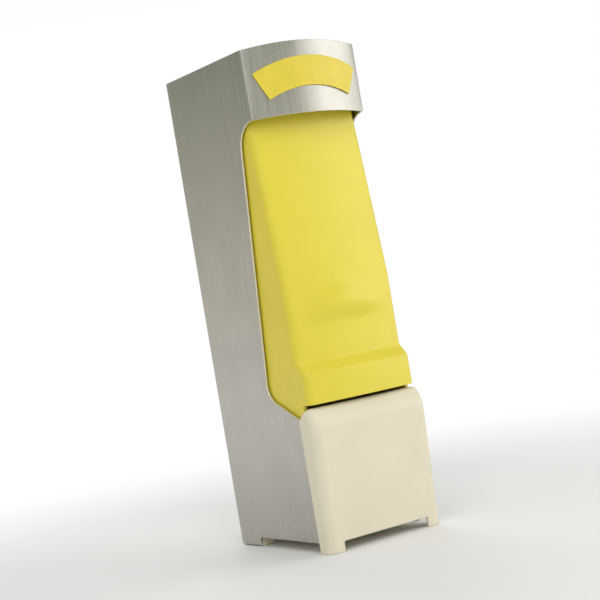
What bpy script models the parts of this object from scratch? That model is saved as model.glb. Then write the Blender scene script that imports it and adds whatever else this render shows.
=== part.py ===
"""Wire butter slicer: a hand-held lever tool that cuts pats off a butter bar.

A steel wrap holds a square chamber. The bar goes in through the back door, a pusher follows it
down, and a wire on the lever's arms sweeps under the chamber's mouth when the lever is squeezed.
The lever's crank also works the feed bar, whose grip walks the pusher down by one pat.

Metres, +Z up, standing on its feet at height 0. The lever faces -Y and X runs across.
The origin lies under the middle of the bounding box. Depths are measured backwards from the
plane of the nose's front, and y_at turns them into Y.
"""

import bpy
import bmesh
from math import acos, asin, atan2, cos, pi, sin, sqrt, tan
from mathutils import Vector

for item in list(bpy.data.objects):
    bpy.data.objects.remove(item, do_unlink=True)

# Gaps and walls that everything keeps
FIT_GAP = 0.0003
RUN_GAP = 0.0008
OVERRUN = 0.0040
SHEET = 0.0009

# Across: the butter, the chamber's walls, the rods beside it, the lever's flanges, the steel
BUTTER_SIDE = 0.0320
BUTTER_GAP = 0.0010
CHAMBER_WALL = 0.0020
ROD_SPACE = 0.0060
ARM_GAP = 0.0010
LEVER_WALL = 0.0020
CHAMBER_HALF = BUTTER_SIDE / 2 + BUTTER_GAP
CHAMBER_OUTER = CHAMBER_HALF + CHAMBER_WALL
BRACKET_OUTER = CHAMBER_OUTER + ROD_SPACE
ARM_INSIDE = BRACKET_OUTER + ARM_GAP
LEVER_HALF = ARM_INSIDE + LEVER_WALL
HALF = LEVER_HALF + RUN_GAP + SHEET
INSIDE = HALF - SHEET - FIT_GAP
BACK_LIP = 0.0070
LIP_EDGE = HALF - BACK_LIP
DOOR_HALF = LIP_EDGE - FIT_GAP

# From front to back: the room for the lever's stroke, the chamber, the door
LEVER_ROOM = 0.0386
DOOR_THICK = 0.0025
DOOR_SINK = 0.0001
KNUCKLE_RADIUS = 0.0022
DOOR_AXIS_BEHIND = 0.0015
CHAMBER_FRONT = LEVER_ROOM + CHAMBER_WALL
CHAMBER_REAR = CHAMBER_FRONT + 2 * CHAMBER_HALF
DOOR_FRONT = CHAMBER_REAR + FIT_GAP
DOOR_REAR = DOOR_FRONT + DOOR_THICK
BODY_DEPTH = DOOR_REAR + DOOR_SINK
INSIDE_REAR = BODY_DEPTH - SHEET - FIT_GAP
DOOR_AXIS_DEPTH = BODY_DEPTH + DOOR_AXIS_BEHIND
NOSE_FRONT = -(DOOR_AXIS_DEPTH + KNUCKLE_RADIUS) / 2

# Upwards: the floor, the butter's length, the pusher, the lever's pin, the steel's top
FOOT_HEIGHT = 0.0044
BASE_THICK = 0.0015
BUTTER_LENGTH = 0.1270
BUTTER_CLEAR = 0.0031
BUTTER_HEEL = 0.0070
BEAM_RISE = 0.0100
BEAM_HEIGHT = 0.0130
BEAM_BELOW_RIM = 0.0010
PIVOT_ABOVE_RIM = 0.0390
TOP_ABOVE_PIVOT = 0.0160
BASE_TOP = FOOT_HEIGHT + BASE_THICK
PUSHER_BOTTOM = BASE_TOP + BUTTER_LENGTH + BUTTER_CLEAR
PUSHER_TRAVEL = BUTTER_LENGTH - BUTTER_HEEL
BEAM_BOTTOM = PUSHER_BOTTOM + BEAM_RISE
BEAM_TOP = BEAM_BOTTOM + BEAM_HEIGHT
CHAMBER_TOP = BEAM_TOP + BEAM_BELOW_RIM
PIVOT_HEIGHT = CHAMBER_TOP + PIVOT_ABOVE_RIM
BODY_HEIGHT = PIVOT_HEIGHT + TOP_ABOVE_PIVOT

# Brow: the bowed band at the top front
BROW_HEIGHT = 0.0300
BROW_SETBACK = 0.0096
BROW_BOW = 0.0055
BROW_TOP_ARCH = 0.0022
BROW_BOTTOM_ARCH = 0.0010
BROW_BOTTOM = BODY_HEIGHT - BROW_HEIGHT
BROW_STEPS = 16
ARCH_STEPS = 11
FRONT_BEND = 0.0018
BACK_BEND = 0.0015

# Nose and feet
NOSE_HEIGHT = 0.0615
NOSE_FALL = 0.0043
NOSE_DEPTH = 0.0110
NOSE_LEAN = 0.0028
NOSE_FLARE = 0.0004
NOSE_WALL = 0.0016
NOSE_CORNER = 0.0042
NOSE_SOFT = 0.0012
SHOULDER_DROP = 0.0090
SHOULDER_BACK = 0.0045
FOOT_FILLET = 0.0025
FOOT_WIDTH = 0.0072
REAR_FOOT_LENGTH = 0.0165
SHELL_LIFT = 0.0006
NOSE_SIDE_HEIGHT = NOSE_HEIGHT - NOSE_FALL
NOSE_INSIDE = HALF + NOSE_FLARE - NOSE_WALL
FRONT_NOTCH_HALF = HALF - FOOT_WIDTH

# Side cut-out, from the brow's lower corner down to the nose
CUT_TOP_DEPTH = 0.0203
CUT_TOP_FILLET = 0.0120
CUT_LOW_DEPTH = 0.0333
CUT_LOW_RISE = 0.0058
CUT_LOW_FILLET = 0.0080
CUT_LOW_HEIGHT = NOSE_HEIGHT + CUT_LOW_RISE

# Lever pin: the crank's disc round it clears the back of the panel
PIN_RADIUS = 0.0020
CRANK_HUB = 0.0080
PANEL_HEAD_DEPTH = 0.0145
PANEL_CROWN = 0.0018
PIVOT_DEPTH = PANEL_HEAD_DEPTH + PANEL_CROWN + LEVER_WALL + CRANK_HUB - FIT_GAP

# Door hinge
DOOR_AXIS_RISE = 0.0081
DOOR_AXIS_HEIGHT = BASE_TOP + DOOR_AXIS_RISE


def y_at(depth):
    """Y of a point that lies this far behind the nose's front plane."""
    return NOSE_FRONT + depth


WORLD = Vector((0, 0, 0))
LEVER_AXIS = Vector((0, y_at(PIVOT_DEPTH), PIVOT_HEIGHT))
DOOR_AXIS = Vector((0, y_at(DOOR_AXIS_DEPTH), DOOR_AXIS_HEIGHT))
SIDES = (("left", -1), ("right", 1))


# Materials

def paint(name, colour, roughness, metallic):
    """A plain Principled material."""
    made = bpy.data.materials.new(name)
    made.use_nodes = True
    made.diffuse_color = (*colour, 1)
    shader = made.node_tree.nodes["Principled BSDF"]
    shader.inputs["Base Color"].default_value = (*colour, 1)
    shader.inputs["Roughness"].default_value = roughness
    shader.inputs["Metallic"].default_value = metallic
    return made


STEEL = paint("brushed_steel", (0.55, 0.55, 0.54), 0.35, 1)
BRIGHT = paint("bright_steel", (0.62, 0.62, 0.62), 0.22, 1)
YELLOW = paint("yellow_plastic", (0.83, 0.73, 0.07), 0.35, 0)
BADGE = paint("yellow_badge", (0.82, 0.69, 0.09), 0.45, 0)
CREAM = paint("cream_plastic", (0.86, 0.80, 0.66), 0.42, 0)
GREY = paint("grey_plastic", (0.42, 0.42, 0.41), 0.50, 0)
DARK = paint("dark_rubber", (0.04, 0.04, 0.04), 0.80, 0)


# Outlines

def rounded(points, radii, steps=5):
    """The outline with its corners filleted, one radius for each point."""
    result = []
    count = len(points)
    for index, (point, radius) in enumerate(zip(points, radii)):
        if radius == 0:
            result.append(tuple(point))
            continue
        here = Vector(point)
        back = (Vector(points[index - 1]) - here).normalized()
        ahead = (Vector(points[(index + 1) % count]) - here).normalized()
        half = acos(back.dot(ahead)) / 2
        centre = here + (back + ahead).normalized() * radius / sin(half)
        start = here + back * radius / tan(half) - centre
        finish = here + ahead * radius / tan(half) - centre
        first = atan2(start.y, start.x)
        sweep = atan2(finish.y, finish.x) - first
        sweep = (sweep + pi) % (2 * pi) - pi
        for step in range(steps + 1):
            angle = first + sweep * step / steps
            result.append((centre.x + radius * cos(angle), centre.y + radius * sin(angle)))
    return result


def offset(path, distance):
    """An open path moved to its left by a distance, with mitred corners."""
    moved = []
    last = len(path) - 1
    for index in range(last + 1):
        here = Vector(path[index])
        before = here - Vector(path[max(index - 1, 0)])
        after = Vector(path[min(index + 1, last)]) - here
        before = (before if index else after).normalized()
        after = (after if index < last else before).normalized()
        left = Vector((-before.y - after.y, before.x + after.x)).normalized()
        share = left.dot(Vector((-before.y, before.x)))
        moved.append(tuple(here + left * distance / share))
    return moved


def arc(centre, radius, first, last, steps):
    """Points on an arc, with its angles in radians."""
    turn = (last - first) / steps
    return [(centre[0] + radius * cos(first + turn * step), centre[1] + radius * sin(first + turn * step))
            for step in range(steps + 1)]


def bow(share, depth, rise):
    """Depth of a bowed face at a share of the half width: the middle stands forward by the rise."""
    return depth - rise * (1 - share * share)


def body_path(rear):
    """Outside of the steel in plan, from the left rear edge round the brow to the right rear edge."""
    shares = [2 * step / BROW_STEPS - 1 for step in range(1, BROW_STEPS)]
    front = [(share * HALF, bow(share, BROW_SETBACK, BROW_BOW)) for share in shares]
    points = [(-HALF, rear), (-HALF, BROW_SETBACK), *front, (HALF, BROW_SETBACK), (HALF, rear)]
    radii = [0, FRONT_BEND, *[0 for point in front], FRONT_BEND, 0]
    return rounded(points, radii, 4)


# Solids

def place(name, verts, faces, material, origin):
    """Make an object from world coordinates, with its origin on its joint's axis."""
    mesh = bpy.data.meshes.new(name)
    mesh.from_pydata([Vector(vert) - origin for vert in verts], [], faces)
    work = bmesh.new()
    work.from_mesh(mesh)
    bmesh.ops.recalc_face_normals(work, faces=work.faces)
    work.to_mesh(mesh)
    work.free()
    item = bpy.data.objects.new(name, mesh)
    item.location = origin
    bpy.context.collection.objects.link(item)
    if material:
        mesh.materials.append(material)
    return item


def loft(name, rings, material=None, origin=WORLD, walled=False):
    """A solid through rings of equal count. A walled ring is a path and its offset, run back again."""
    count = len(rings[0])
    verts = [vert for ring in rings for vert in ring]
    top = (len(rings) - 1) * count
    faces = []
    for base in (0, top):
        if walled:
            faces += [(base + corner, base + corner + 1, base + count - corner - 2, base + count - corner - 1)
                      for corner in range(count // 2 - 1)]
        else:
            faces.append(tuple(range(base, base + count)))
    for base in range(0, top, count):
        for corner in range(count):
            following = (corner + 1) % count
            faces.append((base + corner, base + following, base + count + following, base + count + corner))
    return place(name, verts, faces, material, origin)


def side_prism(name, outline, left, right, material=None, origin=WORLD):
    """An outline of (depth, height) points, drawn out along X."""
    rings = [[(x, y_at(depth), height) for depth, height in outline] for x in (left, right)]
    return loft(name, rings, material, origin)


def front_prism(name, outline, near, far, material=None, origin=WORLD):
    """An outline of (x, height) points, drawn out from one depth to another."""
    rings = [[(x, y_at(depth), height) for x, height in outline] for depth in (near, far)]
    return loft(name, rings, material, origin)


def plan_prism(name, outline, low, high, material=None, origin=WORLD):
    """An outline of (x, depth) points, drawn upwards."""
    rings = [[(x, y_at(depth), height) for x, depth in outline] for height in (low, high)]
    return loft(name, rings, material, origin)


def block(name, x, depth, height, material=None, origin=WORLD):
    """A box between pairs of x, depth and height."""
    outline = [(x[0], depth[0]), (x[1], depth[0]), (x[1], depth[1]), (x[0], depth[1])]
    return plan_prism(name, outline, height[0], height[1], material, origin)


def turned(name, profile, axis, centre, material=None, origin=WORLD, sides=16):
    """A solid turned round an axis, from a closed profile of (radius, distance along the axis)."""
    verts = []
    rows = []
    for radius, along in profile:
        turns = 1 if radius == 0 else sides
        rows.append([len(verts) + turn for turn in range(turns)])
        for turn in range(turns):
            angle = 2 * pi * turn / sides
            across = (radius * cos(angle), radius * sin(angle))
            spot = {"X": (along, *across), "Y": (across[0], along, across[1]), "Z": (*across, along)}[axis]
            verts.append(Vector(centre) + Vector(spot))
    faces = []
    for index, row in enumerate(rows):
        other = rows[(index + 1) % len(rows)]
        for turn in range(sides):
            following = (turn + 1) % sides
            if len(row) > 1 and len(other) > 1:
                faces.append((row[turn], row[following], other[following], other[turn]))
            elif len(row) > 1:
                faces.append((row[turn], row[following], other[0]))
            elif len(other) > 1:
                faces.append((row[0], other[following], other[turn]))
    item = place(name, verts, faces, material, origin)
    item.data.shade_smooth()
    item.data.set_sharp_from_angle(angle=pi / 5)
    return item


def rod(name, radius, length, axis, start, material=None, origin=WORLD, sides=16):
    """A plain cylinder that runs from its start along an axis."""
    profile = [(0, 0), (radius, 0), (radius, length), (0, length)]
    return turned(name, profile, axis, start, material, origin, sides)


def tube_path(name, points, radius, material, origin=WORLD):
    """A round wire along points, with flat filled ends."""
    curve = bpy.data.curves.new(name, "CURVE")
    curve.dimensions = "3D"
    curve.bevel_depth = radius
    curve.bevel_resolution = 1
    curve.use_fill_caps = True
    curve.materials.append(material)
    line = curve.splines.new("POLY")
    line.points.add(len(points) - 1)
    for spot, point in zip(line.points, points):
        spot.co = (*(Vector(point) - origin), 1)
    item = bpy.data.objects.new(name, curve)
    item.location = origin
    bpy.context.collection.objects.link(item)
    return item


def combine(body, tool, operation):
    """Join a tool to a body, or cut it away."""
    step = body.modifiers.new(tool.name, "BOOLEAN")
    step.operation = operation
    step.solver = "EXACT"
    step.object = tool
    tool.hide_render = True
    tool.display_type = "WIRE"


def add(body, *tools):
    for tool in tools:
        combine(body, tool, "UNION")


def cut(body, *tools):
    for tool in tools:
        combine(body, tool, "DIFFERENCE")


# Shell: one bent sheet with the brow, two side walls and the lips at the back

def make_shell():
    path = [(-LIP_EDGE, BODY_DEPTH), *rounded_back(-1), *body_path(BODY_DEPTH - BACK_BEND)[1:-1],
            *rounded_back(1), (LIP_EDGE, BODY_DEPTH)]
    outline = path + offset(path, SHEET)[::-1]
    rings = [[(x, y_at(depth), SHELL_LIFT) for x, depth in outline],
             [(x, y_at(depth), BODY_HEIGHT + arch(x, BROW_TOP_ARCH)) for x, depth in outline]]
    shell = loft("shell", rings, STEEL, walled=True)
    cut(shell, front_cutter(), foot_cutter(), *lip_hole_cutters())


def arch(x, rise):
    """Height gained at x by an edge that arches over the width."""
    return rise * (1 - (x / HALF) ** 2)


def rounded_back(side):
    """The bend from a side wall to its back lip."""
    bend = [(side * LIP_EDGE, BODY_DEPTH), (side * HALF, BODY_DEPTH), (side * HALF, BROW_SETBACK)]
    points = rounded(bend, [0, BACK_BEND, 0], 3)[1:-1]
    return points if side < 0 else points[::-1]


def front_cutter():
    """Everything in front of the side walls' cut edge and under the brow's arched lower edge."""
    corners = [(-OVERRUN, BROW_BOTTOM), (CUT_TOP_DEPTH, BROW_BOTTOM), (CUT_LOW_DEPTH, CUT_LOW_HEIGHT),
               (NOSE_DEPTH, NOSE_SIDE_HEIGHT), (NOSE_DEPTH, -OVERRUN), (-OVERRUN, -OVERRUN)]
    outline = rounded(corners, [0, CUT_TOP_FILLET, CUT_LOW_FILLET, 0, 0, 0], 7)
    reach = HALF + OVERRUN
    rings = []
    for step in range(ARCH_STEPS + 1):
        x = reach * (2 * step / ARCH_STEPS - 1)
        rings.append([(x, y_at(depth), height + arch(x, BROW_BOTTOM_ARCH)) for depth, height in outline])
    return loft("cut_front", rings)


def foot_cutter():
    """The notch between the front foot and the rear foot, through both side walls."""
    rear = BODY_DEPTH - REAR_FOOT_LENGTH
    corners = [(NOSE_DEPTH - OVERRUN, -OVERRUN), (rear, -OVERRUN), (rear, FOOT_HEIGHT),
               (NOSE_DEPTH - OVERRUN, FOOT_HEIGHT)]
    outline = rounded(corners, [0, 0, FOOT_FILLET, 0], 4)
    return side_prism("cut_side_notch", outline, -HALF - OVERRUN, HALF + OVERRUN)


# Screws from the back lips into the chamber's rails
LIP_SCREW_ABOVE_NOSE = 0.0138
LIP_SCREW_BELOW_TOP = 0.0194
LIP_SCREW_RADIUS = 0.0012
LIP_SCREW_HEAD = 0.0021
LIP_SCREW_CAP = 0.0010
LIP_SCREW_LENGTH = 0.0070
LIP_SCREW_X = (LIP_EDGE + HALF - SHEET) / 2


def lip_screw_spots():
    heights = (NOSE_HEIGHT + LIP_SCREW_ABOVE_NOSE, BODY_HEIGHT - LIP_SCREW_BELOW_TOP)
    return [(side * LIP_SCREW_X, height) for height in heights for side in (-1, 1)]


def lip_hole_cutters():
    radius = LIP_SCREW_RADIUS + FIT_GAP
    return [rod(f"cut_lip_hole_{index}", radius, SHEET + 2 * OVERRUN, "Y",
                (x, y_at(BODY_DEPTH - SHEET - OVERRUN), height), sides=12)
            for index, (x, height) in enumerate(lip_screw_spots())]


def screw_profile(radius, head, cap, length):
    """A pan-head screw with a round recess: the head stands at negative distances."""
    recess = radius * 2 / 3
    return [(0, -cap / 2), (recess, -cap / 2), (recess, -cap), (head * 4 / 5, -cap), (head, -cap * 2 / 3),
            (head, 0), (radius, 0), (radius, length), (0, length)]


def make_frame_screws():
    profile = [(radius, -along) for radius, along in
               screw_profile(LIP_SCREW_RADIUS, LIP_SCREW_HEAD, LIP_SCREW_CAP, LIP_SCREW_LENGTH)]
    for index, (x, height) in enumerate(lip_screw_spots()):
        seat = (x, y_at(BODY_DEPTH + FIT_GAP), height)
        turned(f"frame_screw_{index + 1}", profile, "Y", seat, BRIGHT, sides=12)


# Banner: a bare arched badge on the brow, a sector of a ring seen from the front
BANNER_RADIUS = 0.0597
BANNER_WIDTH = 0.0130
BANNER_BELOW = 0.0046
BANNER_MARGIN = 0.0033
BANNER_THICK = 0.0005
BANNER_STEPS = 14


def make_banner():
    centre = BODY_HEIGHT - BANNER_BELOW - BANNER_RADIUS
    widest = asin((HALF - BANNER_MARGIN) / BANNER_RADIUS)
    bottom = BANNER_RADIUS - BANNER_WIDTH
    rings = []
    for step in range(BANNER_STEPS + 1):
        angle = widest * (2 * step / BANNER_STEPS - 1)
        ring = []
        for radius, proud in ((bottom, 0), (BANNER_RADIUS, 0),
                              (BANNER_RADIUS, BANNER_THICK), (bottom, BANNER_THICK)):
            x = radius * sin(angle)
            depth = bow(x / HALF, BROW_SETBACK, BROW_BOW) - FIT_GAP - proud
            ring.append((x, y_at(depth), centre + radius * cos(angle)))
        rings.append(ring)
    return loft("banner", rings, BADGE)


# Nose: the cream cap at the lower front, its front feet, shelf and screw bosses
SHELF_THICK = 0.0015
SHELF_DROP = 0.0011
SHELF_DEPTH = 0.0240
BOSS_RADIUS = 0.0026
BOSS_IN = 0.0085
BOSS_BEHIND = 0.0044
BOSS_LENGTH = 0.0120
BOSS_WEB = 0.0016
BOSS_X = NOSE_INSIDE - BOSS_IN
BOSS_DEPTH = NOSE_LEAN + NOSE_WALL + BOSS_BEHIND
BASE_SCREW_RADIUS = 0.0011
BASE_SCREW_HEAD = 0.0020
BASE_SCREW_CAP = 0.0012
BASE_SCREW_LENGTH = 0.0090


def nose_ring(lean, inset, height):
    """One ring of the nose's U wall. height gives the point's height from its depth."""
    half = HALF + NOSE_FLARE
    corners = [(-half, NOSE_DEPTH - FIT_GAP), (-half, lean), (half, lean), (half, NOSE_DEPTH - FIT_GAP)]
    path = rounded(corners, [0, NOSE_CORNER, NOSE_CORNER, 0], 6)
    outline = offset(path, inset) + offset(path, NOSE_WALL)[::-1]
    return [(x, y_at(depth), height(depth)) for x, depth in outline]


def nose_top(depth):
    """Height of the nose's top edge: level along the front, then falling along the sides."""
    start = SHOULDER_BACK + NOSE_WALL
    share = (depth - start) / (NOSE_DEPTH - start)
    return NOSE_HEIGHT - (NOSE_HEIGHT - NOSE_SIDE_HEIGHT) * max(0, min(1, share))


def shoulder(drop):
    """How far the front wall curves back at a given drop below its top edge."""
    return SHOULDER_BACK * (1 - drop / SHOULDER_DROP) ** 2


def make_nose():
    rings = [nose_ring(NOSE_LEAN, 0, lambda depth: 0)]
    steps = [(SHOULDER_DROP * (1 - step / 4), 0) for step in range(4)]
    steps += [(NOSE_SOFT * (1 - sin(angle)), NOSE_SOFT * (1 - cos(angle))) for angle in (0, pi / 4, pi / 2)]
    for drop, inset in steps:
        rings.append(nose_ring(shoulder(drop), inset, lambda depth, drop=drop: nose_top(depth) - drop))
    nose = loft("nose", rings, CREAM, walled=True)
    shelf_top = NOSE_HEIGHT - SHELF_DROP
    shelf_half = ARM_INSIDE - RUN_GAP
    in_wall = (shoulder(SHELF_DROP) + shoulder(SHELF_DROP + SHELF_THICK) + NOSE_WALL) / 2
    shelf = block("add_nose_shelf", (-shelf_half, shelf_half), (in_wall, SHELF_DEPTH),
                  (shelf_top - SHELF_THICK, shelf_top))
    add(nose, shelf)
    low = BASE_TOP + FIT_GAP
    for side in (-1, 1):
        boss = rod(f"add_nose_boss_{side}", BOSS_RADIUS, BOSS_LENGTH, "Z",
                   (side * BOSS_X, y_at(BOSS_DEPTH), low))
        web = block(f"add_nose_web_{side}", (side * BOSS_X - BOSS_WEB / 2, side * BOSS_X + BOSS_WEB / 2),
                    (NOSE_LEAN + NOSE_WALL / 3, BOSS_DEPTH), (low, low + BOSS_LENGTH - BOSS_WEB))
        hole = rod(f"cut_nose_boss_{side}", BASE_SCREW_RADIUS + FIT_GAP, BASE_SCREW_LENGTH + OVERRUN, "Z",
                   (side * BOSS_X, y_at(BOSS_DEPTH), low - OVERRUN), sides=12)
        add(nose, boss, web)
        cut(nose, hole)
    notch = block("cut_nose_notch", (-FRONT_NOTCH_HALF, FRONT_NOTCH_HALF), (-OVERRUN, NOSE_DEPTH / 2),
                  (-OVERRUN, FOOT_HEIGHT))
    cut(nose, notch)
    return nose


# Lever: crowned front panel, side flanges and the two arms that hold the wire
LEVER_CORNER = 0.0030
LEVER_ABOVE_PIVOT = 0.0060
PANEL_TOP_DEPTH = 0.0132
PANEL_FOOT_DEPTH = 0.0065
PANEL_STEPS = 14
LIP_DEPTH = 0.0018
LIP_GAP = 0.0014
LIP_HEIGHT = 0.0186
LIP_STEP = 0.0065
RIDGE_ABOVE_LIP = 0.0230
RIDGE_HALF = 0.0090
RIDGE_PROUD = 0.0028
RIDGE_DROOP = 0.0050
RIDGE_SPAN_SHARE = 0.74
HUB_RADIUS = CRANK_HUB + RUN_GAP
FLANGE_WAIST = 0.0385
FLANGE_TOP_BELOW_PIVOT = 0.0110
ARM_SLOPE_BELOW_NOSE = 0.0095
ARM_RISE = 0.0181
BUSH_WALL = 0.0012
PANEL_BOTTOM = NOSE_HEIGHT + LIP_GAP
LIP_TOP = PANEL_BOTTOM + LIP_HEIGHT
RIDGE_HEIGHT = LIP_TOP + RIDGE_ABOVE_LIP
PANEL_FOOT_HEIGHT = RIDGE_HEIGHT + RIDGE_HALF
FLANGE_FRONT = SHOULDER_BACK + NOSE_CORNER
FLANGE_REAR_HEIGHT = NOSE_HEIGHT + FLANGE_WAIST
FLANGE_TOP_HEIGHT = PIVOT_HEIGHT - FLANGE_TOP_BELOW_PIVOT
ARM_SLOPE_TOP = NOSE_HEIGHT - ARM_SLOPE_BELOW_NOSE
ARM_TOP = BASE_TOP + ARM_RISE
BUSH_BORE = PIN_RADIUS + FIT_GAP
BUSH_RADIUS = BUSH_BORE + BUSH_WALL

# Wire and its tension screws, at the arms' lower ends: the wire rests in front of the chamber
WIRE_RADIUS = 0.00025
WIRE_AHEAD = 0.0016
WIRE_RISE = 0.0016
WIRE_SCREW_RADIUS = 0.0012
WIRE_SCREW_HEAD = 0.0020
WIRE_SCREW_CAP = 0.0012
WIRE_SCREW_NECK = 0.0014
WIRE_SCREW_AHEAD = 0.0021
WIRE_SCREW_RISE = 0.0030
ARM_BEHIND_WIRE = 0.0012
ARM_WIDTH = 0.0050
ARM_CLEAR = 0.0007
WIRE_DEPTH = CHAMBER_FRONT - WIRE_AHEAD
WIRE_HEIGHT = BASE_TOP + WIRE_RISE
WIRE_SCREW_DEPTH = WIRE_DEPTH - WIRE_SCREW_AHEAD
WIRE_SCREW_HEIGHT = WIRE_HEIGHT + WIRE_SCREW_RISE
FLANGE_REAR = WIRE_DEPTH + ARM_BEHIND_WIRE
ARM_FRONT = FLANGE_REAR - ARM_WIDTH
ARM_BOTTOM = BASE_TOP + ARM_CLEAR


def panel_depth(height):
    """Depth of the panel's middle, from its head behind the brow to the lip."""
    if height >= BROW_BOTTOM:
        slope = (PANEL_HEAD_DEPTH - PANEL_TOP_DEPTH) / (PIVOT_HEIGHT + LEVER_ABOVE_PIVOT - BROW_BOTTOM)
        return PANEL_TOP_DEPTH + slope * (height - BROW_BOTTOM)
    if height >= PANEL_FOOT_HEIGHT:
        slope = (PANEL_TOP_DEPTH - PANEL_FOOT_DEPTH) / (BROW_BOTTOM - PANEL_FOOT_HEIGHT)
        return PANEL_FOOT_DEPTH + slope * (height - PANEL_FOOT_HEIGHT)
    share = max(0, min(1, (LIP_TOP - height) / LIP_STEP))
    ease = share * share * (3 - 2 * share)
    return PANEL_FOOT_DEPTH - (PANEL_FOOT_DEPTH - LIP_DEPTH) * ease


def flange_rear(height):
    """Depth of the flanges' rear edge."""
    top = PIVOT_DEPTH + HUB_RADIUS
    share = (height - FLANGE_REAR_HEIGHT) / (FLANGE_TOP_HEIGHT - FLANGE_REAR_HEIGHT)
    return FLANGE_REAR + (top - FLANGE_REAR) * max(0, min(1, share))


def ridge(share, height):
    """How far the leaf-shaped thumb ridge stands out. Its ends droop towards the sides."""
    across = 1 - (share / RIDGE_SPAN_SHARE) ** 2
    if across <= 0:
        return 0
    middle = RIDGE_HEIGHT - RIDGE_DROOP * (1 - across)
    along = (height - middle) / (RIDGE_HALF * sqrt(across))
    return RIDGE_PROUD * across * max(0, 1 - along * along) ** 1.5


def lever_heights():
    """Heights of the lever's rings: close together at the lip and the ridge."""
    heights = [ARM_BOTTOM, ARM_SLOPE_TOP, PANEL_BOTTOM]
    heights += [LIP_TOP - LIP_STEP * step / 5 for step in range(5, -1, -1)]
    low = RIDGE_HEIGHT - RIDGE_HALF - RIDGE_DROOP / 2
    heights += [low + (PANEL_FOOT_HEIGHT - low) * step / 11 for step in range(12)]
    heights += [PANEL_FOOT_HEIGHT + RIDGE_HALF, (PANEL_FOOT_HEIGHT + BROW_BOTTOM) / 2, BROW_BOTTOM,
                FLANGE_TOP_HEIGHT, PIVOT_HEIGHT + LEVER_ABOVE_PIVOT]
    return sorted(heights)


def lever_ring(height):
    middle = panel_depth(height)
    rear = flange_rear(height)
    shares = [2 * step / PANEL_STEPS - 1 for step in range(1, PANEL_STEPS)]
    front = [(share * LEVER_HALF, bow(share, middle + PANEL_CROWN, PANEL_CROWN)) for share in shares]
    edge = middle + PANEL_CROWN
    corners = [(-LEVER_HALF, rear), (-LEVER_HALF, edge), *front, (LEVER_HALF, edge), (LEVER_HALF, rear)]
    radii = [0, LEVER_CORNER, *[0 for point in front], LEVER_CORNER, 0]
    path = rounded(corners, radii, 4)
    inner = offset(path, LEVER_WALL)[::-1]
    outer = [(x, depth - ridge(x / LEVER_HALF, height)) for x, depth in path]
    return [(x, y_at(depth), height) for x, depth in outer + inner]


def make_lever():
    lever = loft("lever", [lever_ring(height) for height in lever_heights()], YELLOW, LEVER_AXIS, walled=True)
    low = ARM_BOTTOM - OVERRUN
    near = LIP_DEPTH - OVERRUN
    outline = [(near, PANEL_BOTTOM), (FLANGE_FRONT, PANEL_BOTTOM), (FLANGE_FRONT, ARM_SLOPE_TOP),
               (ARM_FRONT, ARM_TOP), (ARM_FRONT, low), (near, low)]
    under_panel = side_prism("cut_lever_front", outline, -HALF, HALF)
    bore = rod("cut_lever_bore", BUSH_RADIUS + FIT_GAP, 2 * HALF, "X", (-HALF, *LEVER_AXIS.yz), sides=20)
    screws = rod("cut_lever_screws", WIRE_SCREW_RADIUS + FIT_GAP, 2 * HALF, "X",
                 (-HALF, y_at(WIRE_SCREW_DEPTH), WIRE_SCREW_HEIGHT), sides=12)
    rivets = [rod(f"cut_lever_rivet_{index}", RIVET_RADIUS + FIT_GAP, LEVER_WALL + 2 * OVERRUN, "X",
                  (ARM_INSIDE - OVERRUN, y_at(depth), PIVOT_HEIGHT), sides=12)
              for index, depth in enumerate(rivet_depths())]
    cut(lever, under_panel, bore, screws, *rivets)


def make_lever_pin():
    length = 2 * (INSIDE - FIT_GAP)
    return rod("lever_pin", PIN_RADIUS, length, "X", (-length / 2, *LEVER_AXIS.yz), BRIGHT)


def make_lever_bushes():
    """Two plain bushes in the flanges, on the pin."""
    profile = [(BUSH_BORE, 0), (BUSH_RADIUS, 0), (BUSH_RADIUS, LEVER_WALL), (BUSH_BORE, LEVER_WALL)]
    turned("lever_bush_left", profile, "X", (-LEVER_HALF, *LEVER_AXIS.yz), GREY, LEVER_AXIS)
    turned("lever_bush_right", profile, "X", (LEVER_HALF - LEVER_WALL, *LEVER_AXIS.yz), GREY, LEVER_AXIS)


# Return spring: a coil on the pin. One leg pushes the panel forward, the other bears on the lid.
SPRING_RADIUS = 0.0042
SPRING_WIRE = 0.0005
SPRING_TURNS = 4
SPRING_POINTS = 8
SPRING_ROOM = 0.0082


def make_lever_spring():
    """It winds from the coil's underside and ends a quarter turn further on, at its back."""
    count = SPRING_TURNS * SPRING_POINTS + SPRING_POINTS // 4
    start = RUN_GAP + SPRING_WIRE - ARM_INSIDE
    length = SPRING_ROOM - RUN_GAP - 2 * SPRING_WIRE
    points = []
    for step in range(count + 1):
        angle = pi - 2 * pi * step / SPRING_POINTS
        x = start + length * step / count
        points.append(LEVER_AXIS + Vector((x, SPRING_RADIUS * sin(angle), SPRING_RADIUS * cos(angle))))
    height = PIVOT_HEIGHT - SPRING_RADIUS
    panel_back = bow(start / LEVER_HALF, panel_depth(height) + PANEL_CROWN, PANEL_CROWN) + LEVER_WALL
    points.insert(0, Vector((start, y_at(panel_back + FIT_GAP + SPRING_WIRE / 2), height)))
    points.append(Vector((*points[-1].xy, LID_BOTTOM - FIT_GAP)))
    tube_path("lever_spring", points, SPRING_WIRE, BRIGHT)


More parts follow.
